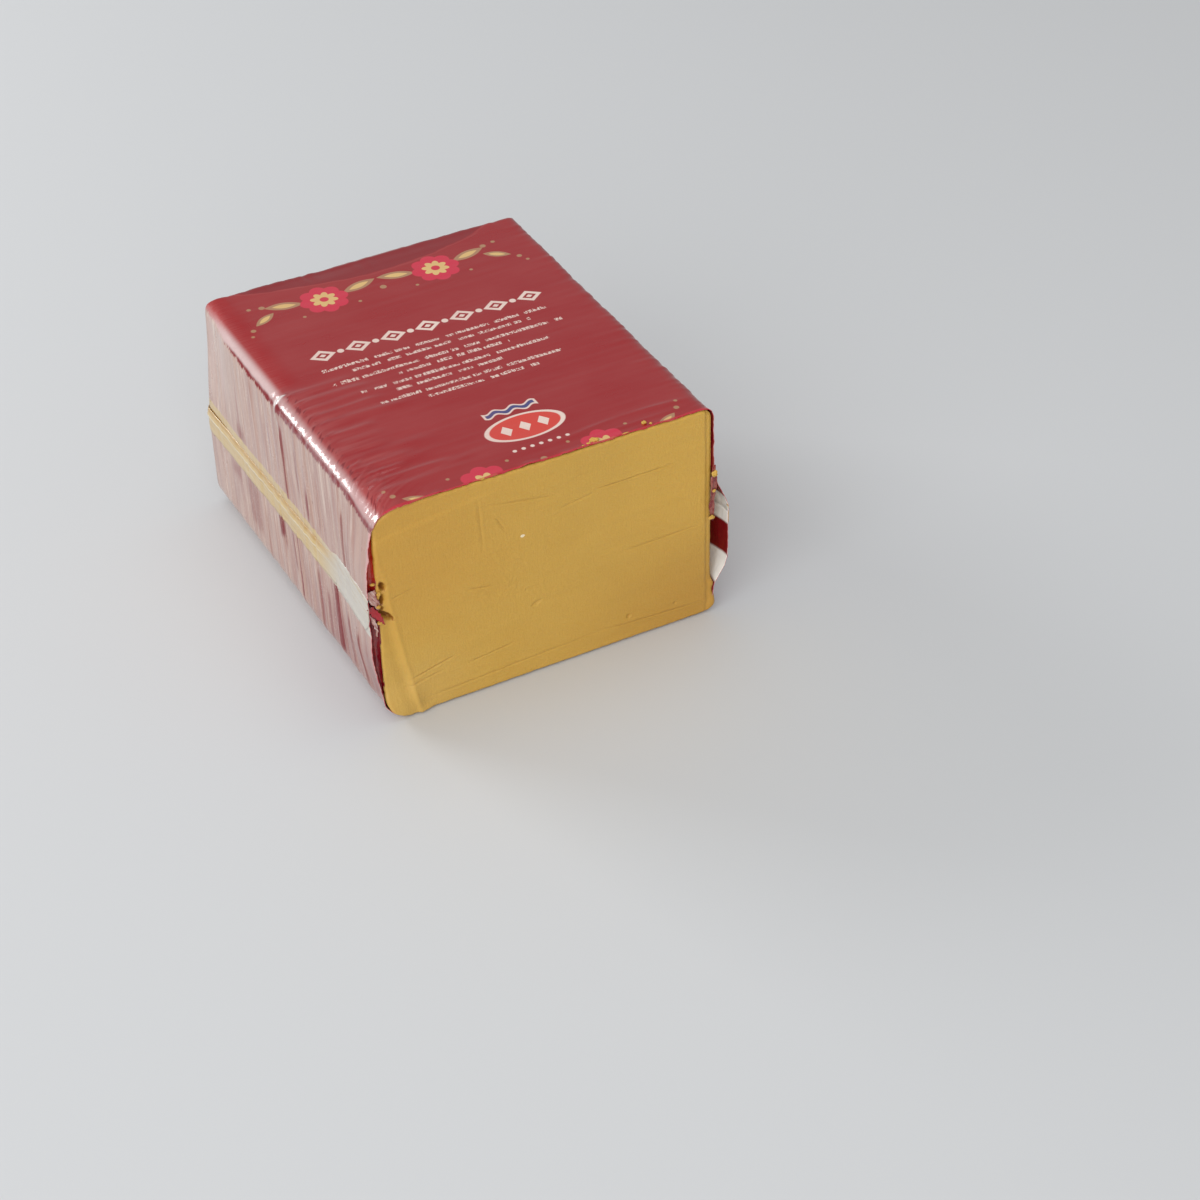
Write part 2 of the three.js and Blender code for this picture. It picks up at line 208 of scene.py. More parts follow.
def round_section(points, inset):
    """Pulls a square-edged section in to the pack's rounded one, an inset smaller."""
    x, y, z = points.T
    radius = np.maximum(corner_radius(x, y, z) - inset, SMALLEST_RADIUS)
    half_x, half_z = HALF_WIDTH - inset, PACK_TOP / 2 - inset
    new_x = x / HALF_WIDTH * half_x
    new_z = (z / (PACK_TOP / 2) - 1) * half_z
    over_x = np.abs(new_x) - (half_x - radius)
    over_z = np.abs(new_z) - (half_z - radius)
    corner = (over_x > 0) & (over_z > 0)
    length = np.where(corner, np.hypot(over_x, over_z), 1)
    pull = np.where(corner, np.maximum(over_x, over_z) / length, 1)
    new_x = np.where(corner, np.sign(new_x) * (half_x - radius + over_x * pull), new_x)
    new_z = np.where(corner, np.sign(new_z) * (half_z - radius + over_z * pull), new_z)
    high = np.clip(new_z / half_z, 0, 1)
    drop = shoulder(new_x, y) * high
    tuck = TUCK * ramp(PACK_BACK - TUCK_LENGTH, PACK_BACK, y) * ramp(TUCK_FROM, 1, new_z / half_z)
    new_x = new_x - tuck * (new_x < 0) * new_x / HALF_WIDTH
    return np.column_stack([new_x, y, new_z + PACK_TOP / 2 - drop])


def back_round(y, inset):
    """The extra inset that rounds the block off towards its sealed end."""
    radius = BACK_RADIUS - inset
    depth = np.clip(y - (PACK_BACK - inset - radius), 0, radius)
    return radius - np.sqrt(radius * radius - depth * depth)


def distance_to_line(x, z, start, end):
    """How far points of the cut face lie from a stroke, and how far along it, 0 to 1."""
    run = np.array(end) - np.array(start)
    along = ((x - start[0]) * run[0] + (z - start[1]) * run[1]) / (run @ run)
    t = np.clip(along, 0, 1)
    return np.hypot(x - start[0] - t * run[0], z - start[1] - t * run[1]), t


def cut_relief(x, z):
    """How far the cut face lies behind its plane at each point, in millimetres."""
    depth = 0.10 * noise_2d(x, z, 16, 13, 3) + 0.05 * noise_2d(x, z, 9, 2.2, 4)
    left = x - (LEDGE_FOOT - LEDGE_LEAN * z + 0.35 * noise_1d(z, 5, 5))
    lower = ramp(*LEDGE_FADE, z)
    depth += (0.16 + 0.2 * lower) * ramp(0.5, -0.7, left)
    depth += 0.22 * lower * ridge(left + 1.3, 1.1) - 0.12 * lower * ridge(left - 0.5, 0.5)
    right = x - (RIGHT_LEDGE + 0.12 * noise_1d(z, 6, 6))
    depth += 0.32 * ramp(-0.05, 0.25, right) * ramp(2, 4, z) + 0.22 * ridge(right, 0.22)
    above = z - (TOP_LEDGE + TOP_LEDGE_LEAN * x + 0.5 * noise_1d(x, 7, 7))
    depth += 0.16 * ramp(-0.5, 0.4, above) * ramp(-8, -18, x)
    for start, end, deep, wide in CUT_SCRATCHES:
        off, along = distance_to_line(x, z, start, end)
        off = off + 0.14 * noise_2d(x, z, 1.5, 1.5, 8)
        fade = np.sin(np.pi * np.clip(along, 0.04, 0.96)) ** 0.5
        depth += deep * fade * (ridge(off, wide) - 0.5 * ridge(off - 2.2 * wide, wide))
    rough = 0
    for west, east, foot, head, share in ROUGH_PATCHES:
        patch = ramp(*west, x) * ramp(*east, x) * ramp(*foot, z) * ramp(*head, z)
        rough = np.maximum(rough, share * patch)
    spread = ramp(-0.2, 0.7, noise_2d(x, z, 3.1, 4.3, 13))
    torn_grain = noise_2d(x + 0.4 * z, z, 0.7, 1.3, 9)
    depth += rough * spread * (0.035 * torn_grain + 0.03 * noise_2d(x, z, 0.5, 0.5, 10))
    for (at_x, at_z), (wide, tall), turn, deep in CUT_PITS:
        u, v = turned(x - at_x, z - at_z, turn)
        ragged = 0.28 * noise_2d(x, z, 0.8, 0.8, 11)
        depth += deep * ramp(1.1, 0.7, np.hypot(u / wide, v / tall) + ragged)
    return depth - BULGE * ramp(*BULGE_ACROSS, x) * ramp(*BULGE_UP, z)


bpy.ops.object.select_all(action="DESELECT")
bpy.ops.mesh.primitive_grid_add(
    x_subdivisions=CHEESE_GRID[0], y_subdivisions=CHEESE_GRID[1], size=1,
    location=(0, CUT * MM, PACK_TOP / 2 * MM), rotation=(math.radians(90), 0, 0))
bpy.context.object.scale = (2 * HALF_WIDTH * MM, PACK_TOP * MM, 1)
cheese = new_piece("cheese_block")
bpy.ops.object.mode_set(mode="EDIT")
bpy.ops.mesh.select_all(action="DESELECT")
bpy.ops.mesh.select_non_manifold()
straight = 2 * PACK_BACK - BACK_RADIUS - sum(WALL_STEPS)
fillet = (BACK_RADIUS - CHEESE_INSET) * np.diff(np.sin(np.linspace(0, math.pi / 2, BACK_STEPS + 1)))
for step in (*WALL_STEPS, straight, *fillet):
    bpy.ops.mesh.extrude_region_move(TRANSFORM_OT_translate={"value": (0, step * MM, 0)})
bpy.ops.mesh.edge_face_add()
bpy.ops.mesh.select_all(action="SELECT")
bpy.ops.mesh.normals_make_consistent(inside=False)
bpy.ops.object.mode_set(mode="OBJECT")

flat = points_of(cheese)
on_cut = flat[:, 1] < CUT + 0.01
rim = np.minimum(HALF_WIDTH - np.abs(flat[:, 0]), np.minimum(flat[:, 2], PACK_TOP - flat[:, 2]))
body = round_section(flat, CHEESE_INSET + back_round(flat[:, 1], CHEESE_INSET))
relief = cut_relief(body[:, 0], body[:, 2]) + EDGE_DROP * ramp(EDGE_ROUND, 0, rim) ** 2
body[:, 1] += np.where(on_cut, relief, 0)
near = np.where(on_cut, 1.0, ramp(CUT + 3, CUT, flat[:, 1]))
for (at_x, at_z), (wide, tall), push, sideways in CUT_LOBES:
    swell = push * near * ridge(body[:, 0] - at_x, wide) * ridge(body[:, 2] - at_z, tall)
    body[:, 0] += sideways * swell
    body[:, 1] -= np.where(on_cut, LOBE_FORWARD * swell, 0)
ragged = near * ramp(RAGGED_RIM, 0, rim) * noise_2d(body[:, 0], body[:, 2], 1.1, 1.1, 12)
body[:, 0] += 0.10 * ragged
body[:, 1] += 0.08 * ragged
set_points(cheese, body)
bpy.ops.object.shade_smooth()


class Wire:
    """A value that runs through a material, written in sums like a number."""

    def __init__(self, finish, socket):
        self.finish = finish
        self.socket = socket

    def to(self, operation, *values):
        return self.finish.node("ShaderNodeMath", {"operation": operation},
                                dict(enumerate((self, *values))))

    def __add__(self, other):
        return self.to("ADD", other)

    def __sub__(self, other):
        return self.to("SUBTRACT", other)

    def __mul__(self, other):
        return self.to("MULTIPLY", other)

    def __truediv__(self, other):
        return self.to("DIVIDE", other)

    def __rsub__(self, other):
        return self.to("MULTIPLY", -1) + other

    __radd__ = __add__
    __rmul__ = __mul__


class Finish:
    """A material in the making: every node comes from node()."""

    def __init__(self, name, **constants):
        self.material = bpy.data.materials.new(name)
        self.material.use_nodes = True
        self.tree = self.material.node_tree
        self.surface = self.tree.nodes["Principled BSDF"]
        self.set(**constants)
        self.place = self.node("ShaderNodeVectorMath", {"operation": "SCALE"}, {
            0: self.node("ShaderNodeTexCoord", output="Object"), "Scale": 1 / MM})
        self.x, self.y, self.z = (
            self.node("ShaderNodeSeparateXYZ", None, {0: self.place}, axis) for axis in "XYZ")

    def node(self, kind, settings=None, inputs=None, output=0):
        made = self.tree.nodes.new(kind)
        for name, value in (settings or {}).items():
            setattr(made, name, value)
        for name, value in (inputs or {}).items():
            self.join(value, made.inputs[name])
        return Wire(self, made.outputs[output])

    def join(self, value, socket):
        if isinstance(value, Wire):
            self.tree.links.new(value.socket, socket)
        else:
            socket.default_value = value

    def set(self, **sockets):
        for name, value in sockets.items():
            self.join(value, self.surface.inputs[name.replace("_", " ")])

    def noise(self, pitch, place=None, detail=2.0, roughness=0.5):
        """Noise from 0 to 1, with its grain's size along each axis in millimetres."""
        spot = self.node("ShaderNodeMapping", None, {
            "Vector": place or self.place, "Scale": tuple(1 / p for p in pitch)})
        return self.node("ShaderNodeTexNoise", None, {
            "Vector": spot, "Scale": 1.0, "Detail": detail, "Roughness": roughness})

    def ramp(self, low, high, value):
        """Rises smoothly from 0 where the value is low to 1 where it is high."""
        return self.node("ShaderNodeMapRange", {"interpolation_type": "SMOOTHSTEP"}, {
            "Value": value, "From Min": low, "From Max": high})

    def mix(self, share, first, second):
        """A colour between two others."""
        return self.node("ShaderNodeMix", {"data_type": "RGBA"}, {
            0: share, 6: first, 7: second}, 2)

    def bump(self, height, distance, strength=1.0):
        """The surface's normal for a relief whose height of 1 stands for distance."""
        return self.node("ShaderNodeBump", None, {
            "Height": height, "Distance": distance * MM, "Strength": strength})


def radius_of(u, v):
    """How far a point lies from where u and v are 0."""
    return (u * u + v * v).to("SQRT")


def colour(red, green, blue):
    """A colour seen as three numbers from 0 to 255, as the shader needs it."""
    parts = (red / 255, green / 255, blue / 255)
    return (*(c / 12.92 if c < 0.04045 else ((c + 0.055) / 1.055) ** 2.4 for c in parts), 1)


PASTE_LIGHT = colour(202, 160, 70)
PASTE_DARK = colour(196, 152, 62)
PASTE_DRAGGED = colour(208, 166, 78)
PASTE_SCRATCH_SHADE = colour(150, 104, 40)
PASTE_PIT_SHADE = colour(140, 80, 16)
PASTE_SALT = colour(236, 220, 186)
# Each drift of tone: its strength, where it grows across and upwards, its colour. The first two are
# painted shade, darker to the lower right and the upper left.
PASTE_SHADE_AND_TONE = (
    (0.6, (-5, 40), (34, 4), colour(180, 128, 44)),
    (0.45, (6, -34), (14, 34), colour(192, 140, 52)),
    (0.5, (8, 36), (14, 34), colour(212, 166, 70)),
    (0.5, (-12, -32), (20, 6), colour(204, 166, 88)),
)

paste = Finish("brown_cheese", Subsurface_Weight=0.12, Subsurface_Scale=0.002,
               Subsurface_Radius=(1.0, 0.55, 0.2))
mottle = paste.noise((9, 9, 9), detail=3)
drag = paste.noise((14, 6, 0.9), detail=3, roughness=0.6)
grain = paste.noise((0.5, 0.5, 0.5), detail=3, roughness=0.6)
tone = paste.mix(mottle, PASTE_LIGHT, PASTE_DARK)
tone = paste.mix(0.35 * drag, tone, PASTE_DRAGGED)
for share, across, upwards, shade in PASTE_SHADE_AND_TONE:
    where = paste.ramp(*across, paste.x) * paste.ramp(*upwards, paste.z)
    tone = paste.mix(share * where, tone, shade)
ripple = paste.noise((0.9, 3, 0.55), detail=2, roughness=0.6)
chatter = paste.noise((0.42, 3, 1.6), detail=1)
# Painted shade: each scratch is painted darker along its groove.
for (start_x, start_z), (end_x, end_z), deep, _ in CUT_SCRATCHES:
    angle = math.atan2(end_z - start_z, end_x - start_x)
    reach = math.hypot(end_x - start_x, end_z - start_z)
    u, v = turned(paste.x - start_x, paste.z - start_z, angle)
    v = v + 0.5 * (mottle - 0.5) + 0.25 * (grain - 0.5)
    ends = paste.ramp(0, 0.2 * reach, u) * paste.ramp(reach, 0.7 * reach, u)
    line = paste.ramp(0.20, 0.04, v.to("ABSOLUTE")) * ends
    tone = paste.mix(2.2 * deep * line, tone, PASTE_SCRATCH_SHADE)
at_cut = paste.ramp(CUT + 4.0, CUT + 2.5, paste.y)
# Painted shade: the four pits at the left rim are painted dark in their hollows.
for (at_x, at_z), (wide, tall), turn, deep in CUT_PITS[:4]:
    u, v = turned(paste.x - at_x, paste.z - at_z, turn)
    off = radius_of(u / wide, v / tall) + 0.8 * (grain - 0.5)
    pit_shade = paste.ramp(1.15, 0.85, off) * at_cut
    tone = paste.mix(0.9 * pit_shade, tone, PASTE_PIT_SHADE)
u = (paste.x - SALT_PLACE[0]) / SALT_SIZE[0]
v = (paste.z - SALT_PLACE[1]) / SALT_SIZE[1]
salt = paste.ramp(1.1, 0.8, radius_of(u, v) + 0.6 * (grain - 0.5)) * at_cut
tone = paste.mix(salt, tone, PASTE_SALT)
paste.set(Base_Color=tone, Roughness=0.44 + 0.16 * drag,
          Normal=paste.bump(0.6 * drag + 0.35 * grain + 0.7 * ripple + 0.4 * chatter, 0.13, 0.9))
cheese.data.materials.append(paste.material)
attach(cheese, "root")
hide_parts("cheese")


# The film: two sheets of thin clear plastic, printed wine red on the inside, the lower
# one drawn round the cheese and the upper one laid over it, shrunk tight and crinkled.
FILM_WALL = 0.12
FILM_FRONT = CUT + 0.12
SEAM_HEIGHT = 25.4
SEAM_LAP = 0.4
SEAM_LINE = 25.9
SEAM_RISE_BACK = 1.9
SEAM_RISE_FRONT = 1.6
FILM_CUTS = ((9, 8), (19, 14), (26,))
CROWDING = (0.2, 0.15, 0.25)
LEFT_FLARE = {"reach": 1.75, "length": 24, "low": 5, "full": (17, 36), "high": 49.5}
RIGHT_FLARE = {"reach": 3.9, "length": 17, "low": 5, "full": (14, 25), "high": 38}
FLARE_FROM = (0.9, 0.97)
EDGE_ZONE = 6
WALL_FADE = (3, 0.5)
FOOT_FADE = (0.5, 4)
STREAK_LEAN = 0.05
STREAK_PIVOT = 28
KNOT_AT = 1.0
KNOT_TROUGH_AT = 2.8
NOTCH_AT = -27.8
TORN_DEPTH = 2.5
TORN_LIFT = 0.7
CURL = 0.28
PLEAT_SEED = 21
# Each row of folds: the edge it crosses, where it runs, then the least and the most of
# the spacing and of a fold's width, height, near end, far end and slant.
PLEATS = (
    ("left", (-43, 2.5), (1.3, 2.6), (0.24, 0.42), (0.05, 0.13), (2.0, 2.8), (3.5, 7), (0.3, 0.7)),
    ("left", (-44.0, 8), (1.6, 3.6), (0.22, 0.35), (0.005, 0.03), (-6, -2), (1.5, 3.0), (0, 0.05)),
    ("left", (-40, 4), (2.8, 4.6), (0.9, 1.5), (0.12, 0.28), (3.5, 5), (13, 24), (0, 0.05)),
    ("left", (-45.2, -34), (1.7, 2.6), (0.32, 0.5), (0.10, 0.20), (1.8, 2.6), (5, 9), (0.8, 1.1)),
    ("left", (4, 45), (2.6, 4.6), (0.3, 0.6), (0.01, 0.03), (-9, -2), (3, 7), (0, 0.1)),
    ("right", (-44, 45), (3.5, 7), (0.5, 0.9), (0.03, 0.10), (-6, -2), (2, 7), (-0.1, 0.1)),
    ("back", (-36, 36), (3, 6), (0.4, 0.8), (0.03, 0.11), (-6, -2), (2, 6), (-0.2, 0.2)),
)
# Each dent in the left wall: its place, its two ends, its width and its depth.
WALL_DENTS = (
    (-25.2, 4, 23, 0.75, 0.45),
    (-3.9, 5, 23, 0.60, 0.30),
    (-0.7, 29, 46, 0.55, 0.40),
    (-12.8, 31, 40, 0.50, 0.25),
    (-36.5, 5, 19, 0.70, 0.35),
    (3.8, 14, 24, 0.50, 0.20),
    (-18.5, 30, 44, 0.45, 0.18),
    (-31.5, 30, 46, 0.50, 0.22),
)
# Each crease on top: where it starts and ends, its width and its height.
TOP_CREASES = (
    ((6.5, -41.5), (21.0, -39.8), 0.75, 0.22),
    ((21.0, -39.8), (36.0, -40.8), 0.75, 0.22),
    ((-24.0, -38.6), (-9.0, -36.4), 0.90, 0.16),
    ((12.0, -43.6), (33.0, -43.0), 0.60, 0.10),
    ((-30.0, -33.2), (-17.0, -31.0), 1.00, 0.16),
)


def flare(side, y, z):
    """How far the loose film stands off the cheese beside the cut."""
    along = 1 - ramp(0, side["length"], y - CUT)
    rise = ramp(side["low"], side["full"][0], z)
    fall = 1 - ramp(side["full"][1], side["high"], z)
    return side["reach"] * along * rise * fall


def wrap_film(points):
    """Lays the points of a square box onto the rounded pack, its back end rounded too."""
    x, y, z = points.T
    zone = BACK_RADIUS
    on_back = y > PACK_BACK - 1e-4
    edge = np.minimum(HALF_WIDTH - np.abs(x), np.minimum(z, PACK_TOP - z))
    turn = np.where(on_back, 0.5 + 0.5 * np.clip(edge / zone, 0, 1),
                    0.5 * np.clip((y - (PACK_BACK - zone)) / zone, 0, 1)) * math.pi / 2
    inset = zone * (1 - np.cos(turn))
    new_y = np.where(turn > 0, PACK_BACK - zone * (1 - np.sin(turn)), y)
    ring = np.where(on_back, np.clip(edge, 0, zone), 0)
    flat_x = x / (HALF_WIDTH - ring) * HALF_WIDTH
    flat_z = (z - PACK_TOP / 2) / (PACK_TOP / 2 - ring) * PACK_TOP / 2 + PACK_TOP / 2
    return round_section(np.column_stack([flat_x, new_y, flat_z]), inset)


def outward(points):
    """The way out of the pack at each point of it."""
    x, y, z = points.T
    height = z - PACK_TOP / 2
    reach = np.column_stack([
        np.sign(x) * ramp(HALF_WIDTH - EDGE_ZONE, HALF_WIDTH, np.abs(x)),
        ramp(PACK_BACK - BACK_RADIUS, PACK_BACK, y),
        np.sign(height) * ramp(PACK_TOP / 2 - EDGE_ZONE, PACK_TOP / 2, np.abs(height)),
    ])
    return reach / np.maximum(np.linalg.norm(reach, axis=1), 1e-6)[:, None]


def pinch(off, width):
    """A fold's section: a ridge with a shallow trough beside it."""
    return ridge(off, width) - 0.45 * ridge(off - 1.7 * width, width)


def pleats(across, along, rng, span, pitch, width, height, low, high, lean):
    """Folds that cross an edge of the pack, which across counts from, inwards positive."""
    total = np.zeros_like(along)
    at = span[0]
    while at < span[1]:
        near, far, wide, tall, slant = (
            rng.uniform(*between) for between in (low, high, width, height, lean))
        soft = 0.2 * (far - near)
        fade = ramp(near - soft, near + soft, across) * ramp(far + soft, far - soft, across)
        bend = 0.25 * np.sin(across / 5 + rng.uniform(0, 6))
        total += tall * fade * pinch(along - at - slant * np.maximum(across, 0) - bend, wide)
        at += rng.uniform(*pitch)
    return total


def streak_line(y, z):
    """Where along the pack a streak through this point starts, as the film hangs askew."""
    return y - STREAK_LEAN * (z - STREAK_PIVOT)


def film_relief(points):
    """How far the crinkled film stands off the smooth pack, in millimetres."""
    x, y, z = points.T
    rng = np.random.default_rng(PLEAT_SEED)
    from_left = (x + HALF_WIDTH) - (PACK_TOP - shoulder(x, y) - z)
    from_right = (HALF_WIDTH - x) - (PACK_TOP - z)
    from_back = (PACK_BACK - y) - (PACK_TOP - z)
    edges = {"left": (from_left, y), "right": (from_right, y), "back": (from_back, x)}
    height = 0
    for place, *sizes in PLEATS:
        height = height + pleats(*edges[place], rng, *sizes)
    height = height * ramp(SEAM_HEIGHT, SEAM_HEIGHT + 6, z)

    foot = ramp(*FOOT_FADE, z)
    side = ramp(HALF_WIDTH - WALL_FADE[0], HALF_WIDTH - WALL_FADE[1], np.abs(x)) * foot
    back = ramp(PACK_BACK - WALL_FADE[0], PACK_BACK - WALL_FADE[1], y) * foot
    top = ramp(PACK_TOP - 2, PACK_TOP, z)
    streak = streak_line(y, z) + 0.3 * noise_1d(z, 9, 31)
    height += side * (0.08 + 0.10 * noise_1d(streak, 1.9, 32) + 0.06 * noise_1d(streak, 0.95, 33)
                      + 0.09 * noise_2d(y, z, 8, 16, 34))
    height += back * (0.08 + 0.09 * noise_1d(x, 2.8, 36) + 0.05 * noise_1d(x, 1.2, 37))
    for at, low, high, wide, deep in WALL_DENTS:
        fade = side * (x < 0) * ramp(low - 2, low + 2, z) * ramp(high + 2, high - 2, z)
        fold = 0.8 * ridge(streak - at + 1.5 * wide, wide) - 0.5 * ridge(streak - at, wide)
        height += deep * fade * fold
    knot = ridge(y - KNOT_AT - 0.12 * from_left, 1.0) * ridge(from_left + 0.5, 4.0)
    height += 0.55 * knot - 0.35 * ridge(y - KNOT_TROUGH_AT, 0.7) * ridge(from_left + 1, 1.8)

    height += top * (0.05 * noise_2d(x, y, 20, 9, 38) + 0.022 * noise_2d(x, y, 12, 1.3, 39))
    for start, end, wide, tall in TOP_CREASES:
        off, along = distance_to_line(x, y, start, end)
        height += top * tall * ridge(off, wide) * np.sin(np.pi * np.clip(along, 0.08, 0.92))
    height -= 0.22 * top * ridge(x + 8, 8) * ramp(PACK_BACK - 6, PACK_BACK - 2, y)
    notch = ridge(y - NOTCH_AT, 0.9) * ramp(11, 5, z) * ramp(6 - HALF_WIDTH, 2 - HALF_WIDTH, x)
    return height * ramp(0, 1.2, z) - 0.14 * notch


def on_film(smooth, lift=0.0):
    """Points of the smooth pack moved out onto the crinkled film, or a lift above it."""
    x, y, z = smooth.T
    placed = smooth + outward(smooth) * (film_relief(smooth) + lift)[:, None]
    away = np.where(x > 0, flare(RIGHT_FLARE, y, z), -flare(LEFT_FLARE, y, z))
    placed[:, 0] += away * ramp(*FLARE_FROM, np.abs(x) / HALF_WIDTH)
    return placed


def thicken(piece, thickness, offset, linings=0):
    """Gives a sheet its wall, whose inside and rim may take the next two materials."""
    wall = piece.modifiers.new("wall", "SOLIDIFY")
    wall.thickness = thickness * MM
    wall.offset = offset
    wall.material_offset = linings
    wall.material_offset_rim = 2 * linings
    bpy.ops.object.modifier_apply(modifier="wall")
    bpy.ops.object.shade_smooth()


def pick(kind, parts, chosen):
    """Goes to edit mode with only the chosen edges or faces selected."""
    bpy.ops.object.mode_set(mode="EDIT")
    bpy.ops.mesh.select_mode(type=kind)
    bpy.ops.mesh.select_all(action="DESELECT")
    bpy.ops.object.mode_set(mode="OBJECT")
    parts.foreach_set("select", chosen)
    bpy.ops.object.mode_set(mode="EDIT")


def film_piece(name, low, high, open_side):
    """Half of the film: a box without its front and its open side, wrapped and crinkled."""
    middle = np.array([0, (FILM_FRONT + PACK_BACK) / 2, (low + high) / 2])
    half = np.array([HALF_WIDTH, (PACK_BACK - FILM_FRONT) / 2, (high - low) / 2])
    bpy.ops.object.select_all(action="DESELECT")
    bpy.ops.mesh.primitive_cube_add(size=2, location=middle * MM)
    bpy.context.object.scale = half * MM
    piece = new_piece(name)
    for axis, rounds in enumerate(FILM_CUTS):
        for cuts in rounds:
            places = points_of(piece)
            ends = np.array([edge.vertices[:] for edge in piece.data.edges])
            run = np.abs(places[ends[:, 0]] - places[ends[:, 1]])
            pick("EDGE", piece.data.edges, run.argmax(axis=1) == axis)
            bpy.ops.mesh.subdivide(number_cuts=cuts, smoothness=0)
            bpy.ops.object.mode_set(mode="OBJECT")
    facing = np.array([face.normal[:] for face in piece.data.polygons])
    left_open = (facing[:, 1] < -0.9) | (facing[:, 2] * open_side > 0.9)
    pick("FACE", piece.data.polygons, left_open)
    bpy.ops.mesh.delete(type="FACE")
    bpy.ops.object.mode_set(mode="OBJECT")

    share = (points_of(piece) - middle) / half
    share -= np.array([1, 1, open_side]) * CROWDING * (1 - share ** 2)
    smooth = wrap_film(middle + half * share)
    placed = on_film(smooth)
    x, y, z = smooth.T
    girth = np.where(np.abs(x) > HALF_WIDTH - 2, z, x)
    torn = ramp(TORN_DEPTH, 0, y - FILM_FRONT)
    placed[:, 1] += torn * (0.20 * noise_1d(girth, 0.8, 41) + 0.22 * noise_1d(girth, 4.5, 42))
    placed[:, 1] += TORN_LIFT * torn * ramp(2.0, 0.5, z)
    curl = torn ** 2 * np.maximum(noise_1d(girth, 2.2, 43), 0)
    placed += CURL * curl[:, None] * outward(smooth)
    set_points(piece, placed)
    for _ in range(3):
        piece.data.materials.append(None)
    thicken(piece, FILM_WALL, -1, linings=1)
    return piece


film_lower = film_piece("film_lower_sheet", 0, SEAM_HEIGHT + SEAM_LAP, 1)
film_upper = film_piece("film_upper_sheet", SEAM_HEIGHT - SEAM_LAP, PACK_TOP, -1)

WINE = colour(151, 2, 13)
WINE_PRESSED_AND_SHADE = colour(112, 8, 22)
WINE_SHEEN = colour(172, 80, 78)
STRAINED_AND_SHEEN = colour(204, 186, 184)
TORN_CRIMSON = colour(186, 6, 36)
KNOT_HIGHLIGHT = colour(226, 216, 212)
WALL_SHEEN = colour(179, 143, 128)
WALL_SHEEN_FAR = colour(183, 131, 122)
WALL_RIDGE_HIGHLIGHT = colour(222, 201, 186)
WALL_SHEEN_FRONT = colour(206, 150, 146)
WALL_STAIN = colour(120, 14, 18)
MARGIN = colour(193, 165, 111)
MARGIN_WHITE = colour(191, 186, 175)
GROOVE_GOLD_AND_SHADE = colour(174, 132, 62)
LINING_RED = colour(122, 8, 22)
LINING_WHITE = colour(244, 242, 236)
RIM_RED = colour(176, 34, 52)
RIM_PALE = colour(226, 168, 160)
RIM_TOP = colour(188, 12, 40)
CRIMSON = colour(206, 24, 62)
PRINT_YELLOW = colour(222, 186, 118)
PRINT_TAN = colour(170, 128, 92)
PRINT_PALE = colour(234, 212, 200)
PRINT_ORANGE = colour(212, 58, 44)
PRINT_BLUE = colour(52, 64, 122)
FLOWERS_X = 13.5
BACK_FLOWERS_Y = 33.2
FRONT_FLOWERS_Y = -47.2
# Each leaf beside a flower: its middle, its turn, its half length and half width.
LEAVES = (
    (-9.0, 1.6, -14, 4.4, 1.5), (8.8, 1.8, 14, 4.4, 1.5), (14.6, -1.4, -32, 3.2, 1.15),
)
# Each dot beside the leaves: its middle and its radius.
BERRIES = (
    (-13.5, -1.6, 0.75), (13.4, 3.4, 0.7), (16.2, 4.0, 0.5), (18.6, -4.6, 0.6),
    (19.6, -6.8, 0.42), (6.6, -4.6, 0.4), (-6.6, -4.6, 0.4),
)
PETALS = 8
CHAIN_X = 1.5
CHAIN_Y = 12.0
CHAIN_HEIGHT = 2.3
CHAIN_PERIOD = 8.2
# Each row of dashes: its place along the top, its half length and its middle.
DASH_ROWS = (
    (6.0, 26.5, 0.5), (3.5, 21, 1.0), (0.2, 27, 1.0), (-2.3, 13, 1.0),
    (-5.4, 22, 0.0), (-7.9, 13, -2.0), (-11.0, 21, 1.0), (-13.5, 13, 2.4),
)
BADGE_PLACE = (2.0, -33.2)
BADGE_SIZE = (9.0, 4.6)
# Each dark fold: its place and height, its half sizes, how dark and how soft it is.
DARK_PATCHES = (
    (24.8, 30.8, 2.2, 1.8, 0.6, 0.8), (31.0, 18.4, 2.6, 2.2, 0.5, 0.9),
    (21.0, 15.0, 3.8, 6.0, 0.45, 1.2), (4.5, 19.0, 1.6, 3.6, 1.0, 0.25),
    (-1.6, 17.0, 0.60, 5.5, 0.7, 0.2), (-4.0, 14.0, 0.60, 9.0, 1.0, 0.2),
    (-24.5, 13.5, 1.65, 9.0, 1.3, 0.25), (-12.3, 33.6, 0.60, 3.2, 0.9, 0.2),
    (-1.8, 39.0, 0.50, 8.5, 0.8, 0.2), (-31.0, 12.0, 0.60, 6.0, 0.7, 0.3),
    (-37.5, 12.5, 0.80, 6.5, 0.7, 0.4), (-14.5, 12.0, 0.45, 8.0, 0.5, 0.3),
    (-18.6, 38.0, 0.45, 6.5, 0.5, 0.3), (-32.4, 37.0, 0.80, 7.0, 0.7, 0.3),
    (-8.5, 40.0, 0.35, 5.0, 0.5, 0.2), (-19.0, 10.0, 0.50, 6.0, 0.6, 0.2),
    (-34.8, 34.0, 0.40, 4.5, 0.5, 0.2), (-42.0, 12.0, 0.50, 6.0, 0.4, 0.3),
)


def seam_line(step, x, y):
    """The height of the crevice above the folded seal, with ramp or a finish's ramp."""
    front = step(-22, -42, y) * step(1, -1, x)
    return SEAM_LINE + SEAM_RISE_BACK * step(50, -26, y) + SEAM_RISE_FRONT * front


def stripe(finish, value, middle, half, soft=0.12):
    """1 within a half width of a middle line and 0 beyond it."""
    return finish.ramp(half + soft, half - soft, (value - middle).to("ABSOLUTE"))


def spot(finish, u, v, radius, soft=0.12):
    """1 inside a round spot of the print and 0 outside it."""
    return finish.ramp(radius + soft, radius - soft, radius_of(u, v))


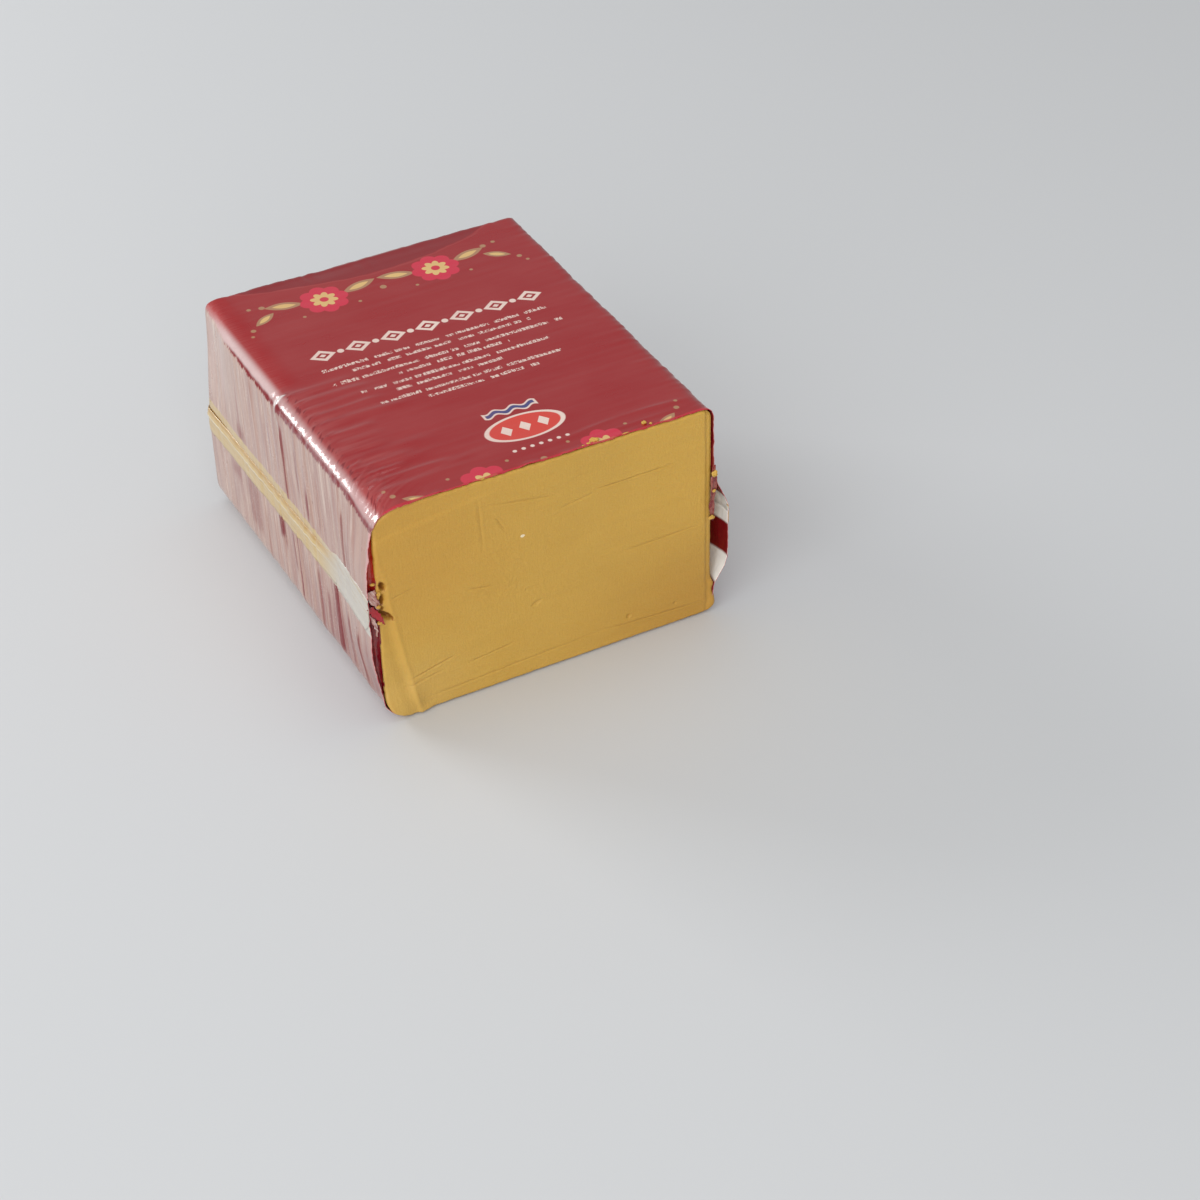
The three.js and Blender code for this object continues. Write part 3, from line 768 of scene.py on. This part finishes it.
def flower(finish, u, v, petals, reach, width):
    """1 on the petals of a round flower drawn about u = v = 0."""
    folded = v.to("ARCTAN2", u).to("PINGPONG", math.pi / petals)
    radius = radius_of(u, v)
    along = (folded.to("COSINE") * radius - 0.58 * reach) / (0.42 * reach)
    aside = folded.to("SINE") * radius / width
    return finish.ramp(1.06, 0.94, radius_of(along, aside))


def leaf(finish, u, v, length, width):
    """1 on a pointed leaf that lies along u, given its half length and half width."""
    share = u / length
    return finish.ramp(-0.1, 0.1, (1 - share * share) * width - v.to("ABSOLUTE"))


def lozenge(finish, u, v, length, height):
    """1 on a lozenge about u = v = 0, given its half length and half height."""
    return finish.ramp(1.06, 0.94, u.to("ABSOLUTE") / length + v.to("ABSOLUTE") / height)


def print_garland(finish, skin, x, y):
    """Flowers, leaves and dots in a row along the back, and again at the cut."""
    aside = x.to("ABSOLUTE")
    for row, mirror in ((BACK_FLOWERS_Y, 1), (FRONT_FLOWERS_Y, -1)):
        u, v = aside - FLOWERS_X, (y - row) * mirror
        for at_u, at_v, degrees, length, width in LEAVES:
            along, across = turned(u - at_u, v - at_v, math.radians(degrees))
            skin = finish.mix(leaf(finish, along, across, length, width), skin, PRINT_TAN)
            vein = leaf(finish, along, across, 0.6 * length, 0.52 * width)
            skin = finish.mix(vein, skin, PRINT_YELLOW)
        for at_u, at_v, radius in BERRIES:
            skin = finish.mix(spot(finish, u - at_u, v - at_v, radius), skin, PRINT_TAN)
        skin = finish.mix(flower(finish, u, v, PETALS, 5.6, 2.0), skin, CRIMSON)
        between = turned(u, v, math.pi / PETALS)
        skin = finish.mix(flower(finish, *between, PETALS, 3.1, 0.8), skin, PRINT_YELLOW)
        skin = finish.mix(spot(finish, u, v, 1.0), skin, CRIMSON)
    return skin


def print_lines(finish, skin, x, y):
    """A chain of lozenges across the top, and rows of plain dashes below it."""
    u = (x - CHAIN_X).to("PINGPONG", CHAIN_PERIOD / 2)
    v = y - CHAIN_Y
    within = stripe(finish, x, CHAIN_X, 3.38 * CHAIN_PERIOD)
    hole = lozenge(finish, u, v, 1.7, 0.55 * CHAIN_HEIGHT)
    ring = lozenge(finish, u, v, 3.0, CHAIN_HEIGHT) * (1 - hole)
    chain = ring.to("MAXIMUM", spot(finish, u - CHAIN_PERIOD / 2, v, 0.75))
    chain = chain.to("MAXIMUM", lozenge(finish, u, v, 0.8, 0.26 * CHAIN_HEIGHT))
    skin = finish.mix(chain * within, skin, PRINT_PALE)
    marks = 0
    for row, half_length, shift in DASH_ROWS:
        slid = x + 3.7 * row
        dashes = finish.ramp(0.03, 0.11, slid.to("PINGPONG", 0.5))
        gaps = finish.node("ShaderNodeTexNoise", {"noise_dimensions": "1D"}, {
            "W": x * 0.42 + 9.1 * row, "Scale": 1.0, "Detail": 0.0})
        tall = finish.node("ShaderNodeTexWhiteNoise", {"noise_dimensions": "1D"}, {
            "W": (slid + 0.5).to("FLOOR") + 17.3 * row})
        off = (y - row - 0.2 * tall).to("ABSOLUTE")
        bar = finish.ramp(0.08, -0.08, off - 0.36 - 0.22 * tall)
        bar = bar * stripe(finish, x, shift, half_length)
        marks = bar * dashes * finish.ramp(0.36, 0.40, gaps) + marks
    strokes = finish.noise((0.26, 0.34, 2), detail=0)
    return finish.mix(0.9 * marks * finish.ramp(0.38, 0.46, strokes), skin, PRINT_PALE)


def print_badge(finish, skin, x, y):
    """A plain oval badge with three lozenges, a blue wave over it and dots below."""
    u, v = x - BADGE_PLACE[0], y - BADGE_PLACE[1]
    oval = radius_of(u / BADGE_SIZE[0], v / BADGE_SIZE[1])
    skin = finish.mix(finish.ramp(1.02, 0.98, oval), skin, PRINT_PALE)
    skin = finish.mix(finish.ramp(0.90, 0.86, oval), skin, PRINT_ORANGE)
    row = lozenge(finish, u.to("PINGPONG", 2.1), v, 1.35, 1.9) * stripe(finish, u, 0, 5.9)
    skin = finish.mix(row, skin, PRINT_PALE)
    wave = v - 7.0 - 0.5 * (u * 1.5).to("SINE")
    for half_height, half_length, ink in ((1.05, 6.2, PRINT_PALE), (0.55, 5.7, PRINT_BLUE)):
        band = stripe(finish, wave, 0, half_height) * stripe(finish, u, 0, half_length)
        skin = finish.mix(band, skin, ink)
    dots = spot(finish, u.to("PINGPONG", 1.0), v + 7.2, 0.45) * stripe(finish, u, 0, 7.4)
    return finish.mix(dots, skin, PRINT_PALE)


printed = Finish("printed_film", Coat_Roughness=0.06, IOR=1.5)
rise, mix = printed.ramp, printed.mix
x, y, z = printed.x, printed.y, printed.z
behind = rise(PACK_BACK - 2.4, PACK_BACK - 1.2, y)
streak = streak_line(y, z) * (1 - behind) + x * behind
wall_place = printed.node("ShaderNodeCombineXYZ", None, {0: streak, 1: z, 2: x * 0.02})
broad = printed.noise((2.2, 30, 9), wall_place, detail=2)
fine = printed.noise((0.8, 16, 9), wall_place, detail=2, roughness=0.6)
folds = printed.noise((1.5, 60, 9), wall_place, detail=1)
thread = printed.noise((0.45, 6, 9), wall_place, detail=0)
dots = printed.noise((0.35, 0.5, 9), wall_place, detail=1)
cloud = printed.noise((16, 9, 14), detail=3)
brushed = printed.noise((14, 1.0, 4), detail=3, roughness=0.65)

# On top the print shows through the clear film, under a painted sheen that stands for light
# reflected where the film stands off, most along the left edge and on folds.
on_top = rise(PACK_TOP - 1.4, PACK_TOP - 0.7, z)
border = 38.2 + 0.0075 * ((x - 1) * (x - 1)) + 5.0 * (cloud - 0.5)
contact = rise(-0.1, 0.15, y - border)
# Painted highlight: a thin bright line just in front of the pressed band at the back.
contact_edge_highlight = stripe(printed, y, border - 0.35, 0.15, 0.3)
inwards = x + HALF_WIDTH
beside = rise(3.5, 1.5, y)
fan = y - inwards.to("MINIMUM", 4.0) * 0.9 - inwards * (0.05 + 0.7 * rise(-30, -43, y))
gathered = printed.node("ShaderNodeCombineXYZ", None, {0: fan, 1: x, 2: 0})
dash = printed.noise((0.75, 1.6, 9), gathered, detail=0)
fold = printed.noise((1.5, 16, 9), gathered, detail=1)
edge_sheen_band = rise(4.8, 1.6, inwards + 2.5 * (cloud - 0.5))
folded = rise(17, 6, inwards + 14 * (cloud - 0.5)) * beside
painted_sheen = 0.06 + 0.07 * rise(0, -30, x) + 0.4 * (cloud - 0.5) + 0.15 * (brushed - 0.5)
# Painted highlight and shade: broad folds near the left edge, towards the cut, get stripes of more
# and less sheen.
painted_sheen = painted_sheen + 1.5 * folded * (fold - 0.47) + 0.42 * edge_sheen_band
# Painted shade: the gaps between the small folds near the left edge (gap) are painted deep red
# without sheen, and so is a painted dark reflection right along that edge (rim); where the film
# touches the cheese at the back (contact) the deep red is its own.
gap = rise(0.40, 0.34, dash) * rise(1.7, 2.1, inwards) * rise(4.8, 3.6, inwards) * beside
rim = rise(0.75, 0.45, inwards)
painted_sheen = (painted_sheen * (1 - contact) * (1 - gap) * (1 - rim) + 0.3 * contact_edge_highlight).to("MAXIMUM", 0.0)
deep = (0.5 * contact).to("MAXIMUM", 0.6 * gap).to("MAXIMUM", 0.8 * rim)
ground = mix(deep, WINE, WINE_PRESSED_AND_SHADE)
skin = print_garland(printed, ground, x, y)
skin = print_lines(printed, skin, x, y)
skin = print_badge(printed, skin, x, y)
skin = mix(on_top, ground, skin)
skin = mix(painted_sheen.to("MINIMUM", 0.95), skin, WINE_SHEEN)
# Partly painted sheen: a pale band along the left edge stands for strained film and for the sheen
# of the bright line there; the glint is a painted highlight near the back edge.
strain_and_sheen = rise(0.2, 0.6, inwards) * rise(2.9, 1.1, inwards) * (0.55 + 0.2 * rise(3, 5, y))
glint = rise(44.6, 45.4, y) * stripe(printed, x, 4, 9, 6)
skin = mix(strain_and_sheen.to("MAXIMUM", 0.45 * glint), skin, STRAINED_AND_SHEEN)
torn_line = rise(CUT + 0.95, CUT + 0.55, y + 1.2 * (cloud - 0.5)) * rise(1, 3, inwards)
skin = mix(0.9 * torn_line * on_top, skin, TORN_CRIMSON)

# The walls carry a painted sheen for light reflected off the film, streaked by upright folds with
# painted highlights on their ridges, most of all on the left, and dark where pressed.
rim_height = PACK_TOP - 2.5 - 2.0 * rise(CUT + 14, CUT, y) + 0.8 * rise(0, 30, y)
rim_height = rim_height + (PACK_TOP - 2.4 - rim_height) * rise(0, 10, x)
on_wall = rise(0.25, -0.25, z - rim_height + 1.4 * (thread - 0.5) + 0.8 * (dots - 0.5))
smooth_front = rise(-37, -43, y)
wrinkled = 1 - smooth_front
left_side = rise(10 + 10 * behind, -10 - 30 * behind, x)
lively = 0.4 + 0.6 * left_side
crease = rise(0.03, 0.0, (folds - 0.5).to("ABSOLUTE")) * wrinkled * lively
wall_sheen = 0.81 + 0.10 * rise(5, 40, y) - 0.40 * rise(4, -24, y) * rise(23, 11, z)
wall_sheen = wall_sheen - 0.10 * (1 - left_side)
uneven = 1.35 * (broad - 0.5) + 0.3 * (fine - 0.5)
wall_sheen = wall_sheen + lively * (1 - 0.6 * smooth_front) * uneven
stain = 0
for at, height, wide, tall, dark, soft in DARK_PATCHES:
    patch = stripe(printed, streak + (0.4 + soft) * (fine - 0.5), at, wide, soft)
    patch = patch * stripe(printed, z + 6 * (thread - 0.5), height, tall, 1.4)
    stain = (dark * patch).to("MAXIMUM", stain)
stain = stain * (0.25 + 0.75 * left_side * (1 - behind))
# Painted highlights: bright dots and thin lines along the ridges of the folds.
speckled_highlights = rise(0.54, 0.70, dots) * rise(0.50, 0.62, thread) * wrinkled * lively
ridge_highlight_lines = rise(0.52, 0.66, thread) * wrinkled * lively
light = (0.12 * ridge_highlight_lines).to("MAXIMUM", 0.6 * speckled_highlights).to("MAXIMUM", 0.65 * crease)
wall_sheen_colour = mix(light, mix(left_side, WALL_SHEEN_FAR, WALL_SHEEN), WALL_RIDGE_HIGHLIGHT)
wall_sheen_colour = mix(rise(-44.8, -46, y), wall_sheen_colour, WALL_SHEEN_FRONT)
wall_sheen = wall_sheen.to("MINIMUM", 0.95).to("MAXIMUM", 0.0).to("MAXIMUM", 0.8 * speckled_highlights)
skin = mix(on_wall * wall_sheen, skin, wall_sheen_colour)
skin = mix(on_wall * stain * (1 - 0.6 * speckled_highlights), skin, WALL_STAIN)
# Painted highlight: a white spot on the top where the knot crosses the left edge.
knot_highlight_spread = (y - 1.9).to("ABSOLUTE") + 0.55 * (inwards - 0.6).to("ABSOLUTE")
skin = mix(rise(0.3, -0.3, knot_highlight_spread - 1.2) * (1 - on_wall), skin, KNOT_HIGHLIGHT)
above_seam = z - seam_line(rise, x, y)
front_white = rise(-14, -30, y) * rise(0, -10, x)
lap = above_seam + 0.8 * rise(5, -30, y) + 0.4 * (broad - 0.5)
margin = mix(front_white, MARGIN, MARGIN_WHITE)
skin = mix(stripe(printed, lap, -1.5, 4.1, 0.1), skin, margin)
# Partly painted shade: a darker golden line along the crevice above the seal, where the cheese
# shows through the clear film and shade falls.
groove = stripe(printed, above_seam, 0.35, 0.28, 0.35) * (1 - 0.7 * front_white)
skin = mix(groove, skin, GROOVE_GOLD_AND_SHADE)

bumps = on_wall * (0.2 * fine + 0.35 * dots + 0.08 * thread + 0.7 * crease)
bumps = bumps + (1 - on_wall) * (0.12 * brushed + 0.25 * cloud + 1.2 * folded * fold)
soft_edge = rise(3, 6, y)
shiny_edge = rise(9, 5, inwards)
gloss = 0.5 + 0.1 * on_wall + 0.3 * shiny_edge * (1 - on_wall) * (1 - 2.6 * soft_edge)
dull_edge = soft_edge * rise(7, 3, inwards) * (1 - on_wall)
hatching = rise(0.42, 0.58, dots)
printed.set(Base_Color=skin, Coat_Weight=gloss * (1 - on_wall * stain.to("MINIMUM", 1.0)),
            Roughness=0.22 + 0.16 * cloud + dull_edge * (0.30 + 0.30 * hatching),
            Normal=printed.bump(bumps, 0.14, 0.7))

inside = Finish("film_inside", Roughness=0.28, Coat_Weight=0.5)
below = inside.z - seam_line(inside.ramp, inside.x, inside.y)
lining = inside.mix(stripe(inside, below, -2.2, 3.8, 0.4), LINING_RED, LINING_WHITE)
glare = inside.ramp(14.0, 13.2, inside.z) * inside.ramp(39.4, 39.8, inside.x)
lining = inside.mix(glare, lining, LINING_WHITE)
crumple = inside.noise((1.2, 1.2, 2.4), detail=3)
inside.set(Base_Color=lining, Normal=inside.bump(crumple, 0.15, 0.8))

edge = Finish("film_edge", Roughness=0.3)
sheen = edge.noise((1.6, 1.6, 1.6), detail=2)
rim_tone = edge.mix(edge.ramp(0.42, 0.6, sheen), RIM_RED, RIM_PALE)
high = edge.ramp(PACK_TOP - 3, PACK_TOP - 1.5, edge.z)
edge.set(Base_Color=edge.mix(0.85 * high, rim_tone, RIM_TOP))

for film, node in ((film_lower, "film_lower"), (film_upper, "film_upper")):
    for number, finish in enumerate((printed, inside, edge)):
        film.data.materials[number] = finish.material
    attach(film, "root")
    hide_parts(node)


# The seal: the edges of both sheets, welded to a fin and folded down flat on the walls.
# It carries no print, so it shows cream, and white where the cut has pulled it loose.
SEAL_WALL = 0.10
SEAL_WIDTH = 5.9
SEAL_CREST = 1.75
SEAL_GRID = (640, 18)
SEAL_ABOVE_LINE = 0.25
SEAL_PEEL = 3.0
SEAL_CORNER = 2.4
CREAM_LIGHT = colour(206, 190, 150)
CREAM_DARK = colour(172, 140, 86)
CREAM_CREST_HIGHLIGHT = colour(236, 228, 204)


def wall_path(share):
    """Places round the walls, from the cut's left side at 0 to its right side at 1."""
    side = PACK_BACK - BACK_RADIUS - FILM_FRONT
    bend = math.pi / 2 * BACK_RADIUS
    across = 2 * (HALF_WIDTH - BACK_RADIUS)
    run = share * (2 * (side + bend) + across)
    first = np.clip(run - side, 0, bend) / BACK_RADIUS
    second = np.clip(run - side - bend - across, 0, bend) / BACK_RADIUS
    x = (-HALF_WIDTH + BACK_RADIUS * (1 - np.cos(first)) + np.clip(run - side - bend, 0, across)
         + BACK_RADIUS * np.sin(second))
    y = (FILM_FRONT + np.clip(run, 0, side) + BACK_RADIUS * np.sin(first)
         - BACK_RADIUS * (1 - np.cos(second)) - np.clip(run - side - 2 * bend - across, 0, side))
    return x, y


def sheet_piece(name, cuts, place, thickness, offset):
    """A thin sheet, whose points a function places from two shares, 0 to 1."""
    bpy.ops.object.select_all(action="DESELECT")
    bpy.ops.mesh.primitive_grid_add(x_subdivisions=cuts[0], y_subdivisions=cuts[1], size=2)
    piece = new_piece(name)
    flat = points_of(piece) * MM
    set_points(piece, place((flat[:, 0] + 1) / 2, (flat[:, 1] + 1) / 2))
    thicken(piece, thickness, offset)
    return piece


def seal_place(along, up):
    """Places the seal's points: cream and flat, but loose and torn off beside the cut."""
    x, y = wall_path(along)
    down = (1 - up) * SEAL_WIDTH
    on_left = x < 0
    loose = ramp(-20, -42, y) * on_left
    ragged = 0.22 * noise_1d(y + x, 2.4, 51) + 0.16 * noise_1d(y + x, 0.9, 52)
    down *= 1 + ramp(2, SEAL_WIDTH, down) * (ragged * (0.4 + loose)) / SEAL_WIDTH
    peeled = ramp(-17, -29, y) * on_left
    z = seam_line(ramp, x, y) + SEAL_ABOVE_LINE - down
    z += SEAL_PEEL * peeled * ramp(SEAL_WIDTH, 0, down)
    crest = 0.26 * ridge(down - SEAL_CREST, 0.45) * (1 - peeled)
    lift = -0.12 + 0.2 * ramp(0, 0.7, down) + crest
    lift += (0.03 + 0.09 * loose) * noise_2d(down, y + x, 0.8, 9, 53) * ramp(0, 1, down)
    lift += 0.04 * loose ** 2 * ramp(1, SEAL_WIDTH, down)
    lift *= np.where(x > 0, ramp(-46, -36, y) * 0.9 + 0.1, 1)
    corner = SEAL_CORNER * ramp(3.0, SEAL_WIDTH, down) ** 2 + 0.2 * noise_1d(down, 1.3, 54)
    y = y + on_left * ramp(-41, -46.2, y) * corner
    return on_film(np.column_stack([x, y, z]), lift)


seal = sheet_piece("folded_seal", SEAL_GRID, seal_place, SEAL_WALL, -1)
bpy.ops.object.mode_set(mode="EDIT")
bpy.ops.mesh.select_all(action="SELECT")
bpy.ops.mesh.normals_make_consistent(inside=False)
bpy.ops.object.mode_set(mode="OBJECT")

clear = Finish("clear_film", Roughness=0.3, Coat_Weight=0.4, Coat_Roughness=0.15)
x, y, z = clear.x, clear.y, clear.z
white = clear.ramp(-14, -30, y) * clear.ramp(0, -10, x)
lengthwise = clear.noise((9, 9, 0.5), detail=3, roughness=0.65)
below_seam = seam_line(clear.ramp, x, y) - z
body = clear.mix(white, MARGIN, MARGIN_WHITE)
body = clear.mix(0.5 * clear.ramp(0.5, 0.7, lengthwise) * (1 - white), body, CREAM_LIGHT)
body = clear.mix(0.45 * clear.ramp(0.5, 0.3, lengthwise), body, CREAM_DARK)
# Painted highlight: a bright line along the crest of the folded seal.
line = stripe(clear, below_seam, 1.6, 0.14, 0.25) * (1 - white)
body = clear.mix(0.8 * line, body, CREAM_CREST_HIGHLIGHT)
# Partly painted shade: the seal's top edge in the crevice is darker golden.
body = clear.mix(0.7 * clear.ramp(1.0, 0.3, below_seam) * (1 - white), body, GROOVE_GOLD_AND_SHADE)
clear.set(Base_Color=body, Normal=clear.bump(lengthwise, 0.12, 0.8))
seal.data.materials.append(clear.material)
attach(seal, "root")
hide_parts("seal_band")


# The torn ends: the knife dragged shreds of film out of both gaps beside the cut, and
# they stick to the cheese, crumpled.
# Each shred: the points it runs through, its width at each, its depth and its seed.
SHREDS = (
    ("film_shred_right", ((39.0, -46.4, 38.2), (38.9, -46.7, 35.0), (38.6, -46.8, 31.5),
                          (38.3, -46.8, 28.0), (38.6, -46.5, 24.4)),
     (0.5, 1.5, 1.0, 1.3, 0.6), 0.35, 61),
    ("film_shred_left", ((-39.7, -45.6, 34.2), (-39.4, -45.9, 32.9), (-38.9, -46.0, 31.2),
                         (-38.4, -46.0, 29.6)), (1.6, 1.9, 1.7, 0.5), 0.22, 62),
    ("film_strand_left", ((-40.3, -46.0, 28.8), (-39.8, -46.2, 27.0), (-39.3, -46.2, 25.2),
                          (-39.1, -46.0, 22.6)), (0.6, 0.7, 0.6, 0.2), 0.15, 67),
)
WEDGE_SPINE = (
    (-40.2, -46.0, 30.4), (-39.2, -46.3, 28.6), (-38.3, -46.5, 27.0), (-37.6, -46.4, 25.6))
WEDGE_WIDTHS = (1.6, 1.6, 1.1, 0.3)
WEDGE_DEPTH = 0.15
SHRED_GRID = (20, 80)
WEDGE_GRID = (20, 60)
TUCK_GRID = (12, 90)
GAP_HEIGHTS = (6.0, 48.6)
TORN_WINE = colour(120, 20, 22)
TORN_DULL = colour(150, 78, 66)
TORN_PINK = colour(176, 128, 118)
TORN_STREAK_HIGHLIGHT = colour(214, 192, 184)
TUCKED_SHADED = colour(116, 0, 16)
TUCKED_LIT = colour(170, 38, 14)
TUCKED_LIGHT = colour(190, 56, 40)
TUCKED_FRONT = colour(158, 0, 22)


def creases(a, b, pitch_a, pitch_b, seed):
    """Sharp folds between flat facets, as in crumpled film, from 0 to 1."""
    return 1 - np.abs(noise_2d(a, b, pitch_a, pitch_b, seed))


def shred_place(spine, widths, depth, seed):
    """Places a strip's points along a few chosen points, with its width at each."""
    def place(across, along):
        stops = np.linspace(0, 1, len(spine))
        spots = np.column_stack([np.interp(along, stops, axis) for axis in zip(*spine)])
        width = np.interp(along, stops, widths) * (1 + 0.3 * noise_1d(along, 0.09, seed))
        spots[:, 0] += (across - 0.5) * width + 0.2 * noise_1d(along, 0.13, seed + 1)
        spots[:, 1] += depth * (creases(across + 0.6 * along, along, 0.42, 0.5, seed + 2) - 0.6)
        spots[:, 1] += 0.4 * depth * creases(across - 0.4 * along, along, 0.19, 0.3, seed + 3)
        spots[:, 2] += 0.3 * noise_2d(across, along, 0.7, 0.12, seed + 4)
        return spots
    return place


def lining_place(across, along):
    """Places the fold of film that lies in the gap between the left film and the cheese."""
    height = GAP_HEIGHTS[0] + along * (GAP_HEIGHTS[1] - GAP_HEIGHTS[0])
    outer = -HALF_WIDTH - flare(LEFT_FLARE, CUT + 0.3, height) + 0.1
    inner = -HALF_WIDTH + CHEESE_INSET + 0.15
    x = outer + across * (inner - outer)
    y = CUT + 0.5 + 0.9 * np.sin(np.pi * across) + 0.3 * creases(across, along, 0.6, 0.09, 66)
    return np.column_stack([x, y, height])


torn = Finish("torn_film", Roughness=0.25, Coat_Weight=0.6, Coat_Roughness=0.08)
tatter = torn.noise((0.9, 2.0, 1.6), detail=2)
slant = torn.node("ShaderNodeCombineXYZ", None, {0: torn.x + 0.55 * torn.z, 1: torn.y, 2: torn.z})
veined = torn.noise((0.28, 1.0, 3.0), slant, detail=2, roughness=0.6)
pallid = torn.ramp(20, -20, torn.x)
rags = torn.mix(torn.ramp(0.46, 0.60, tatter), TORN_WINE, TORN_DULL)
rags = torn.mix(pallid * torn.ramp(0.36, 0.52, tatter), rags, TORN_PINK)
# Painted highlights: pale streaks along the veins of the shreds on the left.
rags = torn.mix(0.7 * pallid * torn.ramp(0.54, 0.62, veined), rags, TORN_STREAK_HIGHLIGHT)
torn.set(Base_Color=rags, Normal=torn.bump(veined, 0.12, 0.6))
for name, spine, widths, depth, seed in SHREDS:
    place = shred_place(spine, widths, depth, seed)
    shred = sheet_piece(name, SHRED_GRID, place, FILM_WALL, 0)
    shred.data.materials.append(torn.material)
    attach(shred, "root")

tucked = Finish("tucked_film", Roughness=0.25, Coat_Weight=0.6, Coat_Roughness=0.08)
# Painted light and shade: the tucked film is painted lighter from 30 mm up and darker below.
lit = tucked.ramp(30, 40, tucked.z)
crumple = tucked.noise((0.6, 0.6, 2.5), detail=3)
tucked_lit_and_shaded = tucked.mix(lit, TUCKED_SHADED, TUCKED_LIT)
tucked_lit_and_shaded = tucked.mix(0.4 * tucked.ramp(0.60, 0.70, crumple), tucked_lit_and_shaded, TUCKED_LIGHT)
tucked_lit_and_shaded = tucked.mix(tucked.ramp(CUT + 0.35, CUT + 0.1, tucked.y), tucked_lit_and_shaded, TUCKED_FRONT)
tucked.set(Base_Color=tucked_lit_and_shaded, Normal=tucked.bump(crumple, 0.15, 0.8))
gap_lining = sheet_piece("film_tuck_left", TUCK_GRID, lining_place, FILM_WALL, 0)
wedge_place = shred_place(WEDGE_SPINE, WEDGE_WIDTHS, WEDGE_DEPTH, 68)
wedge = sheet_piece("film_wedge_left", WEDGE_GRID, wedge_place, FILM_WALL, 0)
for piece in (gap_lining, wedge):
    piece.data.materials.append(tucked.material)
    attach(piece, "root")


# The crumbs: bits of cheese that the knife left on the film's edge and in the gaps. They
# stick where they fell.
# Each crumb: its middle and its half sizes.
CRUMBS = (
    ((11.6, -44.9, 52.9), (1.0, 0.6, 0.35)), ((10.2, -45.5, 52.85), (0.45, 0.3, 0.22)),
    ((8.8, -45.7, 52.85), (0.3, 0.28, 0.2)), ((23.6, -44.4, 52.9), (0.5, 0.42, 0.35)),
    ((24.6, -45.2, 52.85), (0.3, 0.25, 0.2)), ((18.4, -45.8, 52.8), (1.1, 0.22, 0.15)),
    ((38.9, -46.8, 36.4), (0.55, 0.25, 0.7)), ((38.8, -46.9, 32.2), (0.4, 0.2, 0.3)),
    ((38.3, -46.8, 25.4), (0.7, 0.3, 0.4)), ((-38.3, -46.3, 33.4), (0.35, 0.3, 0.45)),
    ((-38.5, -46.2, 30.2), (0.4, 0.3, 0.35)), ((-38.3, -46.2, 26.2), (0.5, 0.35, 0.45)),
    ((-39.3, -46.0, 36.0), (0.4, 0.3, 0.2)), ((-14.0, -45.9, 52.8), (0.5, 0.15, 0.12)),
)

grains = []
for number, (place, size) in enumerate(CRUMBS):
    bpy.ops.object.select_all(action="DESELECT")
    bpy.ops.mesh.primitive_ico_sphere_add(subdivisions=4, radius=MM)
    grain = new_piece(f"crumb_{number}")
    ball = points_of(grain)
    lumps = (0.45 * noise_2d(ball[:, 0] + 2 * number, ball[:, 1] - ball[:, 2], 0.7, 0.7, 71)
             + 0.25 * noise_2d(ball[:, 2] + 3 * number, ball[:, 0] + ball[:, 1], 0.3, 0.3, 72))
    set_points(grain, ball * (1 + lumps)[:, None] * size + place)
    bpy.ops.object.shade_smooth()
    grains.append(grain)
for grain in grains:
    grain.select_set(True)
bpy.context.view_layer.objects.active = grains[0]
bpy.ops.object.join()
crumbs = bpy.context.object
crumbs.name = crumbs.data.name = "cheese_crumbs"
crumbs.data.materials.clear()
crumbs.data.materials.append(paste.material)
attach(crumbs, "root")


# The floor: a pale plain sweep that the block lies on. It isn't part of the block.
FLOOR_SIZE = 6
FLOOR_GREY = colour(206, 208, 210)

bpy.ops.object.select_all(action="DESELECT")
bpy.ops.mesh.primitive_plane_add(size=FLOOR_SIZE, location=(0, 0, 0))
floor = new_piece("floor")
paper = Finish("pale_floor", Roughness=0.6)
paper.set(Base_Color=FLOOR_GREY)
floor.data.materials.append(paper.material)


# The light: soft studio light from large panels in a pale room. A low wide panel behind
# on the left makes the bright line along the film's edge.
# Each panel: the way to it, its distance, its size and its brightness.
PANELS = (
    ("light_edge", (-0.50, 0.785, 0.36), 0.9, (0.42, 0.25), 10.0),
    ("light_above", (0.05, 0.05, 1.0), 0.9, (0.7, 0.7), 1.2),
    ("light_front", (-0.70, -0.75, 0.50), 1.2, (1.5, 1.3), 2.02),
)
LIT_SPOT = Vector((0, 0, 0.03))
ROOM_LIGHT = 0.42

for name, way, distance, size, radiance in PANELS:
    light = bpy.data.lights.new(name, "AREA")
    light.shape = "RECTANGLE"
    light.size, light.size_y = size
    light.energy = radiance * math.pi * size[0] * size[1]
    lamp = bpy.data.objects.new(name, light)
    bpy.context.scene.collection.objects.link(lamp)
    lamp.location = LIT_SPOT + Vector(way).normalized() * distance
    lamp.rotation_euler = (LIT_SPOT - lamp.location).to_track_quat("-Z", "Y").to_euler()

world = bpy.data.worlds.new("studio")
bpy.context.scene.world = world
world.use_nodes = True
room = world.node_tree.nodes["Background"].inputs
room["Color"].default_value = (1, 1, 1, 1)
room["Strength"].default_value = ROOM_LIGHT
bpy.context.scene.view_settings.view_transform = "Standard"


# The camera: it looks down on the cut end from the left, as the photograph does.
CAMERA_AZIMUTH = math.radians(-27.5)
CAMERA_ELEVATION = math.radians(37.28)
CAMERA_ROLL = math.radians(-1.32)
CAMERA_PLACE = (-0.2005, -0.4535, 0.3627)
CAMERA_LENS = 82.2

camera = bpy.data.objects.new("camera", bpy.data.cameras.new("camera"))
bpy.context.scene.collection.objects.link(camera)
camera.matrix_world = (
    Matrix.Translation(CAMERA_PLACE)
    @ Matrix.Rotation(CAMERA_AZIMUTH, 4, "Z")
    @ Matrix.Rotation(math.pi / 2 - CAMERA_ELEVATION, 4, "X")
    @ Matrix.Rotation(CAMERA_ROLL, 4, "Z"))
camera.data.lens = CAMERA_LENS
camera.data.sensor_width = 36
camera.data.clip_end = 20
bpy.context.scene.camera = camera


bpy.context.view_layer.update()
